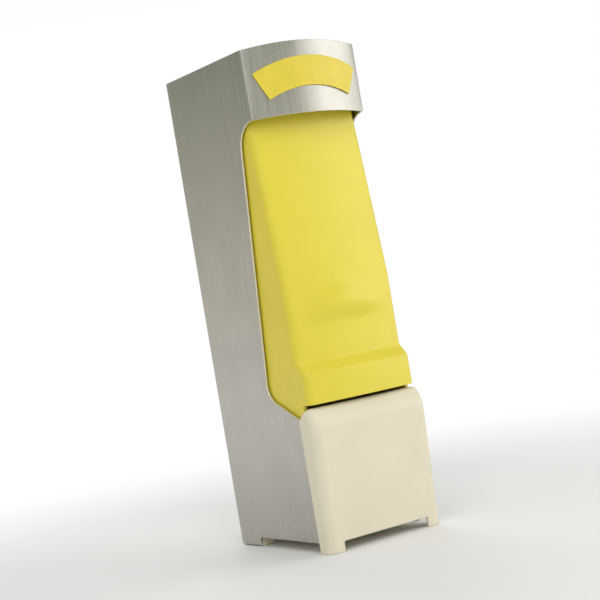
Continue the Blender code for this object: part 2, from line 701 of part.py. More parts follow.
def make_wire():
    """The wire runs straight across and takes three quarters of a turn round each screw's neck."""
    wrap = WIRE_SCREW_RADIUS + FIT_GAP + WIRE_RADIUS
    plane = ARM_INSIDE - WIRE_SCREW_NECK / 2
    loop = [(WIRE_SCREW_DEPTH + wrap * cos(turn * pi / 5), WIRE_SCREW_HEIGHT + wrap * sin(turn * pi / 5))
            for turn in range(8)]
    half = [(plane - wrap, WIRE_DEPTH, WIRE_HEIGHT),
            (plane - WIRE_SCREW_NECK / 4, WIRE_DEPTH, WIRE_HEIGHT + wrap / 3)]
    half += [(plane, depth, height) for depth, height in loop]
    points = [(-x, depth, height) for x, depth, height in half[::-1]] + half
    return tube_path("cutter_wire", [(x, y_at(depth), height) for x, depth, height in points], WIRE_RADIUS,
                     BRIGHT, LEVER_AXIS)


def make_wire_screws():
    length = WIRE_SCREW_NECK + LEVER_WALL
    profile = screw_profile(WIRE_SCREW_RADIUS, WIRE_SCREW_HEAD, WIRE_SCREW_CAP, length)
    for name, side in SIDES:
        sided = [(radius, side * along) for radius, along in profile]
        spot = (side * (ARM_INSIDE - WIRE_SCREW_NECK), y_at(WIRE_SCREW_DEPTH), WIRE_SCREW_HEIGHT)
        turned(f"wire_screw_{name}", sided, "X", spot, BRIGHT, LEVER_AXIS, sides=12)


# Chamber: the walls round the butter, open behind and below, with rails, webs and rod brackets
MOUTH_GAP = 0.0012
MOUTH_STEPS = 10
RAIL_DEPTH = 0.0083
RAIL_ABOVE_NOSE = 0.0025
LID_THICK = 0.0020
LID_BELOW = 0.0015
WEB_THICK = 0.0030
WEB_BACK = 0.0033
BAR_RADIUS = 0.0016
BEAM_HALF = 0.0044
BRACKET_HALF = 0.0032
BRACKET_THICK = 0.0040
BRACKET_RISE = 0.0040
LOW_BRACKET_RISE = 0.0131
PILLAR_IN = 0.0060
PILLAR_HALF = 0.0030
PILLAR_DEPTH = 0.0074
PILLAR_RISE = 0.0201
CAP_SCREW_RADIUS = 0.0012
CAP_SCREW_HEAD = 0.0022
CAP_SCREW_CAP = 0.0010
CAP_SCREW_LENGTH = 0.0090
RAIL_INSIDE = LIP_EDGE
RAIL_FRONT = INSIDE_REAR - RAIL_DEPTH
RAIL_BOTTOM = NOSE_HEIGHT + RAIL_ABOVE_NOSE
LID_TOP = BODY_HEIGHT - LID_BELOW
LID_BOTTOM = LID_TOP - LID_THICK
WEB_REAR = INSIDE_REAR - WEB_BACK
BAR_X = (CHAMBER_OUTER + BRACKET_OUTER) / 2
BAR_DEPTH = RAIL_FRONT - BEAM_HALF - 2 * RUN_GAP
BAR_HOLE = BAR_RADIUS + FIT_GAP
TOP_BRACKET = CHAMBER_TOP + BRACKET_RISE
LOW_BRACKET = BASE_TOP + LOW_BRACKET_RISE
PILLAR_X = CHAMBER_HALF - PILLAR_IN
PILLAR_REAR = WIRE_DEPTH - WIRE_RADIUS - MOUTH_GAP
PILLAR_FRONT = PILLAR_REAR - PILLAR_DEPTH
PILLAR_TOP = BASE_TOP + PILLAR_RISE
PILLAR_SCREW_DEPTH = (PILLAR_FRONT + PILLAR_REAR) / 2
CAP_SCREW_X = (RAIL_INSIDE + INSIDE) / 2
CAP_SCREW_DEPTH = (RAIL_FRONT + INSIDE_REAR) / 2


def wire_reach():
    """Distance from the lever's axis to the wire."""
    return sqrt((WIRE_DEPTH - PIVOT_DEPTH) ** 2 + (PIVOT_HEIGHT - WIRE_HEIGHT) ** 2)


def mouth_height(depth):
    """Height of the chamber's mouth, an arc round the lever's axis just above the wire's path."""
    reach = wire_reach() - MOUTH_GAP
    return PIVOT_HEIGHT - sqrt(reach * reach - (depth - PIVOT_DEPTH) ** 2)


def mouth_cutter():
    rear = CHAMBER_REAR + OVERRUN
    span = rear - PILLAR_REAR
    depths = [PILLAR_REAR + span * step / MOUTH_STEPS for step in range(MOUTH_STEPS + 1)]
    outline = [(depth, mouth_height(depth)) for depth in depths] + [(rear, 0), (PILLAR_REAR, 0)]
    return side_prism("cut_mouth", outline, -HALF, HALF)


def bar_cutters(body):
    """Holes for the two rods, drawn through everything on their lines."""
    return [rod(f"cut_{body}_bar_{side}", BAR_HOLE, BODY_HEIGHT, "Z",
                (side * BAR_X, y_at(BAR_DEPTH), 0), sides=16) for side in (-1, 1)]


def make_chamber():
    outer, inner = CHAMBER_OUTER, CHAMBER_HALF
    front = CHAMBER_FRONT - CHAMBER_WALL
    outline = [(-outer, CHAMBER_REAR), (-outer, front), (outer, front), (outer, CHAMBER_REAR),
               (inner, CHAMBER_REAR), (inner, CHAMBER_FRONT), (-inner, CHAMBER_FRONT), (-inner, CHAMBER_REAR)]
    chamber = plan_prism("chamber", outline, BASE_TOP, CHAMBER_TOP, CREAM)
    bite = CHAMBER_WALL / 2
    bracket = (BAR_DEPTH - BRACKET_HALF, BAR_DEPTH + BRACKET_HALF)
    for side in (-1, 1):
        def across(low, high, side=side):
            return (side * low, side * high) if side > 0 else (side * high, side * low)
        rail = block(f"add_rail_{side}", across(RAIL_INSIDE, INSIDE), (RAIL_FRONT, INSIDE_REAR),
                     (RAIL_BOTTOM, LID_BOTTOM - FIT_GAP))
        web = block(f"add_web_{side}", across(outer - bite, RAIL_INSIDE + bite),
                    (WEB_REAR - WEB_THICK, WEB_REAR), (RAIL_BOTTOM + bite, CHAMBER_TOP - bite))
        top = block(f"add_top_bracket_{side}", across(outer + bite, BRACKET_OUTER),
                    (bracket[0], RAIL_FRONT + bite), (TOP_BRACKET, TOP_BRACKET + BRACKET_THICK))
        low = block(f"add_low_bracket_{side}", across(outer - bite, BRACKET_OUTER), bracket,
                    (LOW_BRACKET, LOW_BRACKET + BRACKET_THICK))
        pillar = block(f"add_pillar_{side}", across(PILLAR_X - PILLAR_HALF, PILLAR_X + PILLAR_HALF),
                       (PILLAR_FRONT, front + bite), (BASE_TOP + FIT_GAP, PILLAR_TOP))
        slot = block(f"cut_slot_{side}", across(inner - bite, outer + bite),
                     (BAR_DEPTH - BEAM_HALF - FIT_GAP, BAR_DEPTH + BEAM_HALF + FIT_GAP),
                     (BEAM_BOTTOM - PUSHER_TRAVEL - RUN_GAP, CHAMBER_TOP + OVERRUN))
        cap_hole = rod(f"cut_cap_hole_{side}", CAP_SCREW_RADIUS + FIT_GAP, CAP_SCREW_LENGTH + OVERRUN, "Z",
                       (side * CAP_SCREW_X, y_at(CAP_SCREW_DEPTH), LID_BOTTOM - CAP_SCREW_LENGTH), sides=12)
        base_hole = rod(f"cut_pillar_hole_{side}", BASE_SCREW_RADIUS + FIT_GAP,
                        BASE_SCREW_LENGTH + OVERRUN, "Z",
                        (side * PILLAR_X, y_at(PILLAR_SCREW_DEPTH), BASE_TOP - OVERRUN), sides=12)
        add(chamber, rail, web, top, low, pillar)
        cut(chamber, slot, cap_hole, base_hole)
    lip_depth = LIP_SCREW_LENGTH + OVERRUN
    lip_holes = [rod(f"cut_rail_hole_{index}", LIP_SCREW_RADIUS + FIT_GAP, lip_depth, "Y",
                     (x, y_at(INSIDE_REAR + OVERRUN - lip_depth), height), sides=12)
                 for index, (x, height) in enumerate(lip_screw_spots())]
    cut(chamber, mouth_cutter(), *bar_cutters("chamber"), *lip_holes)
    return chamber


# Top cap: the lid inside the steel's top edge, with the ears that carry the lever's pin
EAR_THICK = 0.0030
EAR_RADIUS = 0.0070
CATCH_BEHIND = 0.0013
DOOR_BELOW_LID = 0.0079
EAR_OUTER = ARM_INSIDE - RUN_GAP - SPRING_ROOM
EAR_INSIDE = EAR_OUTER - EAR_THICK
CATCH_DEPTH = DOOR_FRONT + CATCH_BEHIND
DOOR_TOP = LID_BOTTOM - DOOR_BELOW_LID


def make_top_cap():
    outline = offset(body_path(INSIDE_REAR), SHEET + FIT_GAP)
    cap = plan_prism("top_cap", outline, LID_BOTTOM, LID_TOP, CREAM)
    low, high = LID_BOTTOM + LID_THICK / 4, LID_TOP - LID_THICK / 4
    catch = [(CATCH_DEPTH, DOOR_TOP + FIT_GAP), (BODY_DEPTH, DOOR_TOP + FIT_GAP), (BODY_DEPTH, high),
             (RAIL_FRONT, high), (RAIL_FRONT, low), (CATCH_DEPTH, low)]
    add(cap, side_prism("add_cap_catch", catch, -DOOR_HALF, DOOR_HALF))
    for side in (-1, 1):
        ear = [(PIVOT_DEPTH + EAR_RADIUS, LID_BOTTOM + LID_THICK / 2),
               *[(PIVOT_DEPTH + x, PIVOT_HEIGHT - z) for x, z in arc((0, 0), EAR_RADIUS, 0, pi, 8)],
               (PIVOT_DEPTH - EAR_RADIUS, LID_BOTTOM + LID_THICK / 2)]
        low, high = sorted((side * EAR_INSIDE, side * (EAR_INSIDE + EAR_THICK)))
        add(cap, side_prism(f"add_cap_ear_{side}", ear, low, high))
        cut(cap, rod(f"cut_cap_screw_{side}", CAP_SCREW_RADIUS + FIT_GAP, LID_THICK + 2 * OVERRUN, "Z",
                     (side * CAP_SCREW_X, y_at(CAP_SCREW_DEPTH), LID_BOTTOM - OVERRUN), sides=12))
    cut(cap, rod("cut_cap_pin", PIN_RADIUS + FIT_GAP, 2 * HALF, "X", (-HALF, *LEVER_AXIS.yz)))
    return cap


def make_cap_screws():
    profile = [(radius, -along) for radius, along in
               screw_profile(CAP_SCREW_RADIUS, CAP_SCREW_HEAD, CAP_SCREW_CAP, CAP_SCREW_LENGTH)]
    for name, side in SIDES:
        spot = (side * CAP_SCREW_X, y_at(CAP_SCREW_DEPTH), LID_TOP + FIT_GAP)
        turned(f"cap_screw_{name}", profile, "Z", spot, BRIGHT, sides=12)


# Base plate: the floor frame with the mouth, the rear feet, the stop lugs and the door's lugs
BASE_CORNER = 0.0035
MOUTH_MARGIN = 0.0010
REAR_WALL_RISE = 0.0061
STOP_LUG_RISE = 0.0111
STOP_LUG_DEPTH = 0.0028
STOP_PAD_THICK = 0.0013
STOP_PAD_LENGTH = 0.0060
LUG_IN = 0.0031
LUG_WIDTH = 0.0060
DOOR_PIN_RADIUS = 0.0010
DOOR_ABOVE_AXIS = 0.0025
BASE_HALF = NOSE_INSIDE - FIT_GAP
BASE_FRONT = NOSE_LEAN + NOSE_WALL + FIT_GAP
REAR_WALL_FRONT = DOOR_FRONT + FIT_GAP
REAR_WALL_TOP = BASE_TOP + REAR_WALL_RISE
STOP_PAD_REAR = ARM_FRONT - FIT_GAP
STOP_PAD_FRONT = STOP_PAD_REAR - STOP_PAD_THICK
STOP_LUG_REAR = STOP_PAD_FRONT - FIT_GAP
STOP_LUG_FRONT = STOP_LUG_REAR - STOP_LUG_DEPTH
STOP_LUG_TOP = BASE_TOP + STOP_LUG_RISE
LUG_OUTSIDE = DOOR_HALF - LUG_IN
LUG_INSIDE = LUG_OUTSIDE - LUG_WIDTH
DOOR_PIN_HOLE = DOOR_PIN_RADIUS + FIT_GAP
DOOR_BOTTOM = DOOR_AXIS_HEIGHT + DOOR_ABOVE_AXIS
BASE_SCREW_SPOTS = (("pillar", PILLAR_X, PILLAR_SCREW_DEPTH), ("nose", BOSS_X, BOSS_DEPTH))


def make_base_plate():
    corners = [(-BASE_HALF, BASE_FRONT), (BASE_HALF, BASE_FRONT),
               (BASE_HALF, INSIDE_REAR), (-BASE_HALF, INSIDE_REAR)]
    outline = rounded(corners, [BASE_CORNER, BASE_CORNER, 0, 0], 5)
    base = plan_prism("base_plate", outline, FOOT_HEIGHT, BASE_TOP, CREAM)
    bite = BASE_THICK / 3
    wall = block("add_base_wall", (-DOOR_HALF, DOOR_HALF), (REAR_WALL_FRONT, BODY_DEPTH - FIT_GAP),
                 (FOOT_HEIGHT + bite, REAR_WALL_TOP))
    add(base, wall)
    for side in (-1, 1):
        low, high = sorted((side * LIP_EDGE, side * (BASE_HALF - bite)))
        foot = block(f"add_rear_foot_{side}", (low, high),
                     (BODY_DEPTH - REAR_FOOT_LENGTH, INSIDE_REAR - bite), (0, BASE_TOP - bite))
        low, high = sorted((side * ARM_INSIDE, side * (BASE_HALF - bite)))
        lug = block(f"add_stop_lug_{side}", (low, high), (STOP_LUG_FRONT, STOP_LUG_REAR),
                    (BASE_TOP - bite, STOP_LUG_TOP))
        knuckle = [(REAR_WALL_FRONT + bite, REAR_WALL_TOP - KNUCKLE_RADIUS),
                   *arc((DOOR_AXIS_DEPTH, DOOR_AXIS_HEIGHT), KNUCKLE_RADIUS, -pi / 2, pi, 12),
                   (REAR_WALL_FRONT + bite, REAR_WALL_TOP - bite)]
        low, high = sorted((side * LUG_INSIDE, side * LUG_OUTSIDE))
        hinge = side_prism(f"add_hinge_lug_{side}", knuckle, low, high)
        add(base, foot, lug, hinge)
        for name, x, depth in BASE_SCREW_SPOTS:
            cut(base, rod(f"cut_base_{name}_{side}", BASE_SCREW_RADIUS + FIT_GAP,
                          BASE_THICK + 2 * OVERRUN, "Z",
                          (side * x, y_at(depth), FOOT_HEIGHT - OVERRUN), sides=12))
    mouth_half = CHAMBER_HALF + MOUTH_MARGIN
    mouth = block("cut_base_mouth", (-mouth_half, mouth_half),
                  (PILLAR_REAR + FIT_GAP, REAR_WALL_FRONT - FIT_GAP), (-OVERRUN, BASE_TOP + OVERRUN / 2))
    pin_hole = rod("cut_base_pin", DOOR_PIN_HOLE, 2 * (LUG_OUTSIDE + OVERRUN), "X",
                   (-LUG_OUTSIDE - OVERRUN, *DOOR_AXIS.yz), sides=12)
    cut(base, mouth, pin_hole)
    return base


def make_base_screws():
    profile = screw_profile(BASE_SCREW_RADIUS, BASE_SCREW_HEAD, BASE_SCREW_CAP, BASE_SCREW_LENGTH)
    for name, side in SIDES:
        for place_name, x, depth in BASE_SCREW_SPOTS:
            spot = (side * x, y_at(depth), FOOT_HEIGHT - FIT_GAP)
            turned(f"{place_name}_screw_{name}", profile, "Z", spot, BRIGHT, sides=12)


def make_stop_pads():
    """Rubber pads that the lever's arms rest on."""
    for name, side in SIDES:
        low, high = sorted((side * (ARM_INSIDE + FIT_GAP), side * (LEVER_HALF - FIT_GAP)))
        block(f"stop_pad_{name}", (low, high), (STOP_PAD_FRONT, STOP_PAD_REAR),
              (STOP_LUG_TOP - STOP_PAD_LENGTH, STOP_LUG_TOP), DARK)


# Feed: crank on the lever, feed bar, guide bar
CRANK_THICK = 0.0014
CRANK_TIP = 0.0042
FEED_PIN_RADIUS = 0.0015
SLOT_SLACK = 0.0008
RIVET_RADIUS = 0.0011
RIVET_HEAD = 0.0017
RIVET_CAP = 0.0006
RIVET_EDGE = 0.0020
EYE_HALF = 0.0032
EYE_BELOW = 0.0050
EYE_ABOVE = 0.0040
FEED_BAR_RISE = 0.0091
GUIDE_BAR_RISE = 0.0113
GUIDE_COLLAR = 0.0026
GUIDE_COLLAR_THICK = 0.0015
CRANK_OUTSIDE = ARM_INSIDE - FIT_GAP
RIVET_SPACING = CRANK_HUB - RIVET_EDGE
EYE_BOTTOM = PIVOT_HEIGHT - EYE_BELOW
EYE_TOP = PIVOT_HEIGHT + EYE_ABOVE
FEED_BAR_BOTTOM = BASE_TOP + FEED_BAR_RISE
GUIDE_BAR_BOTTOM = BASE_TOP + GUIDE_BAR_RISE


def rivet_depths():
    return (PIVOT_DEPTH - RIVET_SPACING, PIVOT_DEPTH + RIVET_SPACING)


def make_feed_crank():
    """A steel strap on the right flange: it reaches back to the feed bar's pin."""
    hub = (PIVOT_DEPTH, PIVOT_HEIGHT)
    tip = (BAR_DEPTH, PIVOT_HEIGHT)
    outline = arc(hub, CRANK_HUB, pi / 3, 5 * pi / 3, 12) + arc(tip, CRANK_TIP, -pi / 2, pi / 2, 8)
    inside = CRANK_OUTSIDE - CRANK_THICK
    crank = side_prism("feed_crank", outline, inside, CRANK_OUTSIDE, STEEL, LEVER_AXIS)
    start = inside - OVERRUN
    length = CRANK_THICK + 2 * OVERRUN
    bore = rod("cut_crank_bore", PIN_RADIUS + FIT_GAP, length, "X", (start, *LEVER_AXIS.yz))
    rivets = [rod(f"cut_crank_rivet_{index}", RIVET_RADIUS + FIT_GAP, length, "X",
                  (start, y_at(depth), PIVOT_HEIGHT), sides=12) for index, depth in enumerate(rivet_depths())]
    radius = FEED_PIN_RADIUS + FIT_GAP
    slot = (arc((BAR_DEPTH - SLOT_SLACK, PIVOT_HEIGHT), radius, pi / 2, 3 * pi / 2, 6)
            + arc((BAR_DEPTH + SLOT_SLACK, PIVOT_HEIGHT), radius, -pi / 2, pi / 2, 6))
    cut(crank, bore, *rivets, side_prism("cut_crank_slot", slot, start, start + length))
    return crank


def make_crank_rivets():
    start = CRANK_OUTSIDE - CRANK_THICK - FIT_GAP
    length = LEVER_HALF - start
    profile = [(0, -RIVET_CAP), (RIVET_HEAD, -RIVET_CAP), (RIVET_HEAD, 0), (RIVET_RADIUS, 0),
               (RIVET_RADIUS, length), (0, length)]
    for index, depth in enumerate(rivet_depths()):
        spot = (start, y_at(depth), PIVOT_HEIGHT)
        turned(f"crank_rivet_{index + 1}", profile, "X", spot, BRIGHT, LEVER_AXIS, sides=12)


def make_feed_bar():
    spot = Vector((BAR_X, y_at(BAR_DEPTH), FEED_BAR_BOTTOM))
    eye_high = CRANK_OUTSIDE - CRANK_THICK - FIT_GAP
    bar = rod("feed_bar", BAR_RADIUS, EYE_BOTTOM + BAR_RADIUS - FEED_BAR_BOTTOM, "Z", spot, STEEL)
    eye = block("add_feed_eye", (BAR_X - BAR_RADIUS, eye_high), (BAR_DEPTH - EYE_HALF, BAR_DEPTH + EYE_HALF),
                (EYE_BOTTOM, EYE_TOP))
    hole = rod("cut_feed_eye", FEED_PIN_RADIUS + FIT_GAP, 2 * (BAR_RADIUS + OVERRUN), "X",
               (BAR_X - BAR_RADIUS - OVERRUN, y_at(BAR_DEPTH), PIVOT_HEIGHT), sides=12)
    add(bar, eye)
    cut(bar, hole)
    return bar


def make_feed_pin():
    start = BAR_X - BAR_RADIUS
    return rod("feed_pin", FEED_PIN_RADIUS, CRANK_OUTSIDE + FIT_GAP - start, "X",
               (start, y_at(BAR_DEPTH), PIVOT_HEIGHT), BRIGHT, sides=12)


def make_guide_bar():
    """The fixed rod: its collar rests on the upper bracket."""
    seat = TOP_BRACKET + BRACKET_THICK + FIT_GAP - GUIDE_BAR_BOTTOM
    top = seat + GUIDE_COLLAR_THICK
    profile = [(0, 0), (BAR_RADIUS, 0), (BAR_RADIUS, seat),
               (GUIDE_COLLAR, seat), (GUIDE_COLLAR, top), (0, top)]
    return turned("guide_bar", profile, "Z", (-BAR_X, y_at(BAR_DEPTH), GUIDE_BAR_BOTTOM), STEEL)


# Pusher: follows the butter down. Its beam reaches through the side slots to the two rods.
PUSHER_GAP = 0.0004
PUSHER_FOOT_THICK = 0.0016
PUSHER_PLATE = 0.0030
PUSHER_CORNER = 0.0030
PUSHER_STEM_IN = 0.0040
POCKET_RISE = 0.0035
POCKET_HEIGHT = 0.0060
GRIP_THICK = 0.0012
GRIP_RISE = 0.0034
GRIP_AHEAD = 0.0046
GRIP_BEHIND = 0.0048
GRIP_PIVOT_IN = 0.0010
GRIP_COIL = 0.0009
GRIP_COIL_WIRE = 0.0002
GRIP_COIL_TURNS = 3
GRIP_COIL_POINTS = 8
PUSHER_STEM_HALF = CHAMBER_HALF - PUSHER_STEM_IN
POCKET_BOTTOM = BEAM_BOTTOM + POCKET_RISE
POCKET_TOP = POCKET_BOTTOM + POCKET_HEIGHT
GRIP_BOTTOM = POCKET_BOTTOM + GRIP_RISE
GRIP_HALF = (BRACKET_OUTER - CHAMBER_OUTER) / 2 - FIT_GAP
GRIP_FRONT = BAR_DEPTH - GRIP_AHEAD
GRIP_REAR = BAR_DEPTH + GRIP_BEHIND


def make_pusher():
    half = CHAMBER_HALF - PUSHER_GAP
    near, far = CHAMBER_FRONT + PUSHER_GAP, CHAMBER_REAR - PUSHER_GAP
    low = PUSHER_BOTTOM + PUSHER_FOOT_THICK + FIT_GAP
    pusher = block("pusher", (-half, half), (near, far), (low, low + PUSHER_PLATE), CREAM)
    bite = PUSHER_PLATE / 2
    stem = block("add_pusher_stem", (-PUSHER_STEM_HALF, PUSHER_STEM_HALF),
                 (BAR_DEPTH - BEAM_HALF - bite, BAR_DEPTH + BEAM_HALF + bite), (low + bite, BEAM_TOP - bite))
    beam = block("add_pusher_beam", (-BRACKET_OUTER, BRACKET_OUTER),
                 (BAR_DEPTH - BEAM_HALF, BAR_DEPTH + BEAM_HALF), (BEAM_BOTTOM, BEAM_TOP))
    add(pusher, stem, beam)
    for side in (-1, 1):
        low, high = sorted((side * CHAMBER_OUTER, side * (BRACKET_OUTER + OVERRUN)))
        cut(pusher, block(f"cut_pocket_{side}", (low, high),
                          (BAR_DEPTH - 2 * BEAM_HALF, BAR_DEPTH + 2 * BEAM_HALF),
                          (POCKET_BOTTOM, POCKET_TOP)))
    cut(pusher, *bar_cutters("pusher"))
    return pusher


def make_pusher_foot():
    """The plate that presses on the butter, snapped under the pusher."""
    half = CHAMBER_HALF - PUSHER_GAP
    near, far = CHAMBER_FRONT + PUSHER_GAP, CHAMBER_REAR - PUSHER_GAP
    corners = [(-half, near), (half, near), (half, far), (-half, far)]
    outline = rounded(corners, [PUSHER_CORNER for corner in corners], 3)
    return plan_prism("pusher_foot", outline, PUSHER_BOTTOM, PUSHER_BOTTOM + PUSHER_FOOT_THICK, GREY)


def grip_axis(side):
    return Vector((side * BAR_X, y_at(GRIP_FRONT + GRIP_PIVOT_IN), GRIP_BOTTOM + GRIP_THICK / 2))


def make_grip(name, side):
    """A small steel plate round a rod: tilted, it grips the rod one way and slides the other."""
    x = side * BAR_X
    grip = block(name, (x - GRIP_HALF, x + GRIP_HALF), (GRIP_FRONT, GRIP_REAR),
                 (GRIP_BOTTOM, GRIP_BOTTOM + GRIP_THICK), STEEL, grip_axis(side))
    cut(grip, rod(f"cut_{name}", BAR_HOLE, GRIP_THICK + 2 * OVERRUN, "Z",
                  (x, y_at(BAR_DEPTH), GRIP_BOTTOM - OVERRUN)))
    return grip


def make_grip_spring(name, side):
    """A small coil under the grip's free end."""
    low = POCKET_BOTTOM + FIT_GAP + GRIP_COIL_WIRE
    rise = GRIP_BOTTOM - FIT_GAP - GRIP_COIL_WIRE - low
    middle = (side * BAR_X, y_at(BAR_DEPTH + BEAM_HALF - GRIP_COIL - GRIP_COIL_WIRE))
    count = GRIP_COIL_TURNS * GRIP_COIL_POINTS
    points = [(middle[0] + GRIP_COIL * cos(2 * pi * step / GRIP_COIL_POINTS),
               middle[1] + GRIP_COIL * sin(2 * pi * step / GRIP_COIL_POINTS),
               low + rise * step / count) for step in range(count + 1)]
    return tube_path(name, points, GRIP_COIL_WIRE, BRIGHT)


# Door: the full-length loading door at the back, its pin and its latch
DOOR_ARM_RISE = 0.0030
WINDOW_HALF = 0.0070
WINDOW_HEIGHT = 0.0143
WINDOW_BELOW = 0.0033
BUTTON_TRAVEL = 0.0022
BUTTON_PROUD = 0.0013
BUTTON_RIBS = 4
BUTTON_RIB = 0.0006
TONGUE_HALF = 0.0030
TONGUE_AHEAD = 0.0003
TONGUE_CATCH = 0.0018
LATCH_COIL = 0.0006
LATCH_COIL_WIRE = 0.0002
LATCH_COIL_TURNS = 6
LATCH_COIL_POINTS = 8
LATCH_COIL_LENGTH = 0.0080
LATCH_POCKET_HALF = 0.0014
LATCH_POCKET_DEPTH = 0.0020
DOOR_KNUCKLE_HALF = LUG_INSIDE - FIT_GAP
DOOR_ARM_TOP = DOOR_BOTTOM + DOOR_ARM_RISE
WINDOW_TOP = DOOR_TOP - WINDOW_BELOW
WINDOW_BOTTOM = WINDOW_TOP - WINDOW_HEIGHT
BUTTON_FACE = BODY_DEPTH + BUTTON_PROUD
TONGUE_FRONT = DOOR_FRONT - TONGUE_AHEAD
TONGUE_REAR = CATCH_DEPTH - FIT_GAP
LATCH_POCKET_REAR = DOOR_FRONT + LATCH_POCKET_DEPTH


def make_door():
    door = block("door", (-DOOR_HALF, DOOR_HALF), (DOOR_FRONT, DOOR_REAR), (DOOR_BOTTOM, DOOR_TOP),
                 CREAM, DOOR_AXIS)
    middle = (DOOR_FRONT + DOOR_REAR) / 2
    arm = [(middle, DOOR_ARM_TOP),
           (middle, DOOR_BOTTOM + DOOR_THICK / 4),
           *arc((DOOR_AXIS_DEPTH, DOOR_AXIS_HEIGHT), KNUCKLE_RADIUS, pi, 2 * pi, 8),
           (DOOR_AXIS_DEPTH + KNUCKLE_RADIUS, DOOR_AXIS_HEIGHT + KNUCKLE_RADIUS / 2)]
    add(door, side_prism("add_door_knuckle", arm, -DOOR_KNUCKLE_HALF, DOOR_KNUCKLE_HALF))
    pin_hole = rod("cut_door_pin", DOOR_PIN_HOLE, 2 * HALF, "X", (-HALF, *DOOR_AXIS.yz), sides=12)
    window = block("cut_door_window", (-WINDOW_HALF, WINDOW_HALF),
                   (DOOR_FRONT - OVERRUN, DOOR_REAR + OVERRUN), (WINDOW_BOTTOM, WINDOW_TOP))
    slot = block("cut_door_tongue", (-TONGUE_HALF - FIT_GAP, TONGUE_HALF + FIT_GAP),
                 (DOOR_FRONT - OVERRUN, CATCH_DEPTH), (WINDOW_TOP - OVERRUN, DOOR_TOP + OVERRUN))
    pocket = block("cut_door_spring", (-LATCH_POCKET_HALF, LATCH_POCKET_HALF),
                   (DOOR_FRONT - OVERRUN, LATCH_POCKET_REAR),
                   (WINDOW_BOTTOM - LATCH_COIL_LENGTH, WINDOW_BOTTOM + OVERRUN))
    cut(door, pin_hole, window, slot, pocket)
    return door


def make_door_pin():
    return rod("door_pin", DOOR_PIN_RADIUS, 2 * LUG_OUTSIDE, "X", (-LUG_OUTSIDE, *DOOR_AXIS.yz),
               BRIGHT, sides=12)


def make_latch_button():
    half = WINDOW_HALF - FIT_GAP
    low = WINDOW_BOTTOM + BUTTON_TRAVEL + FIT_GAP
    high = WINDOW_TOP - FIT_GAP
    button = block("latch_button", (-half, half), (DOOR_FRONT, BUTTON_FACE), (low, high), CREAM)
    tongue = block("add_tongue", (-TONGUE_HALF, TONGUE_HALF), (TONGUE_FRONT, TONGUE_REAR),
                   (high - BUTTON_RIB, DOOR_TOP + TONGUE_CATCH))
    add(button, tongue)
    pitch = (high - low) / (BUTTON_RIBS + 1)
    grooves = [block(f"cut_button_rib_{index}", (-half - OVERRUN, half + OVERRUN),
                     (BUTTON_FACE - BUTTON_RIB, BUTTON_FACE + OVERRUN),
                     (low + pitch * (index + 1) - BUTTON_RIB, low + pitch * (index + 1) + BUTTON_RIB))
               for index in range(BUTTON_RIBS)]
    cut(button, *grooves)
    return button


def make_latch_spring():
    """A small coil in the door's pocket, pressing the button up."""
    high = WINDOW_BOTTOM + BUTTON_TRAVEL - LATCH_COIL_WIRE
    low = WINDOW_BOTTOM - LATCH_COIL_LENGTH + FIT_GAP + LATCH_COIL_WIRE
    depth = (DOOR_FRONT + LATCH_POCKET_REAR) / 2
    count = LATCH_COIL_TURNS * LATCH_COIL_POINTS
    points = [(LATCH_COIL * cos(2 * pi * step / LATCH_COIL_POINTS),
               y_at(depth) + LATCH_COIL * sin(2 * pi * step / LATCH_COIL_POINTS),
               low + (high - low) * step / count) for step in range(count + 1)]
    return tube_path("latch_spring", points, LATCH_COIL_WIRE, BRIGHT)


make_shell()
make_banner()
make_nose()
make_lever()
make_lever_pin()
make_lever_bushes()
make_lever_spring()
make_wire()
make_wire_screws()
make_chamber()
make_top_cap()
make_cap_screws()
make_frame_screws()
make_base_plate()
make_base_screws()
make_stop_pads()
make_feed_crank()
make_crank_rivets()
make_feed_bar()
make_feed_pin()
make_guide_bar()
make_pusher()
make_pusher_foot()
make_grip("drive_grip", 1)
make_grip("hold_grip", -1)
make_grip_spring("drive_grip_spring", 1)
make_grip_spring("hold_grip_spring", -1)
make_door()
make_door_pin()
make_latch_button()
make_latch_spring()
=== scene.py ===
from math import cos, radians, sin

import bpy
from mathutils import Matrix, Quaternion, Vector


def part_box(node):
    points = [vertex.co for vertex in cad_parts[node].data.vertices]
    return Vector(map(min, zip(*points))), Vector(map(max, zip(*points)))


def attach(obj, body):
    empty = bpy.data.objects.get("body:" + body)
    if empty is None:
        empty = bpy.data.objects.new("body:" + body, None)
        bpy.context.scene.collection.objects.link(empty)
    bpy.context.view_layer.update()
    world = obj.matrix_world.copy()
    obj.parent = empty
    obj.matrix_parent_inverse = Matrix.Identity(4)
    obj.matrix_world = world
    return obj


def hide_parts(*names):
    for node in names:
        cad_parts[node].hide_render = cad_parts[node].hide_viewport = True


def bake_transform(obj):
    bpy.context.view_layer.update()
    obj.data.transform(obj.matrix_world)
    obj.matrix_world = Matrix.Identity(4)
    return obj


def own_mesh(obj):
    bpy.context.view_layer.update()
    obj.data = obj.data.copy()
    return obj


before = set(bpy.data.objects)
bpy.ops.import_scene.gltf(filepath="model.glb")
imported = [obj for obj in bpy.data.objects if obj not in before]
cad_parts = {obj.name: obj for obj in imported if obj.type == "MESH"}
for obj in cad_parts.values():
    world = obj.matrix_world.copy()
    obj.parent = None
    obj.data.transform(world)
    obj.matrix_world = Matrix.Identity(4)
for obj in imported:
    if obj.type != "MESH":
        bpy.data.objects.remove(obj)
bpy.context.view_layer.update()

bpy.ops.object.select_all(action="DESELECT")


# Steel wrap
# The body is one sheet of satin stainless steel, bent over the front and folded in at the back.
# It is blanked, deburred and brushed along its length, and two screws hold each of its back lips.

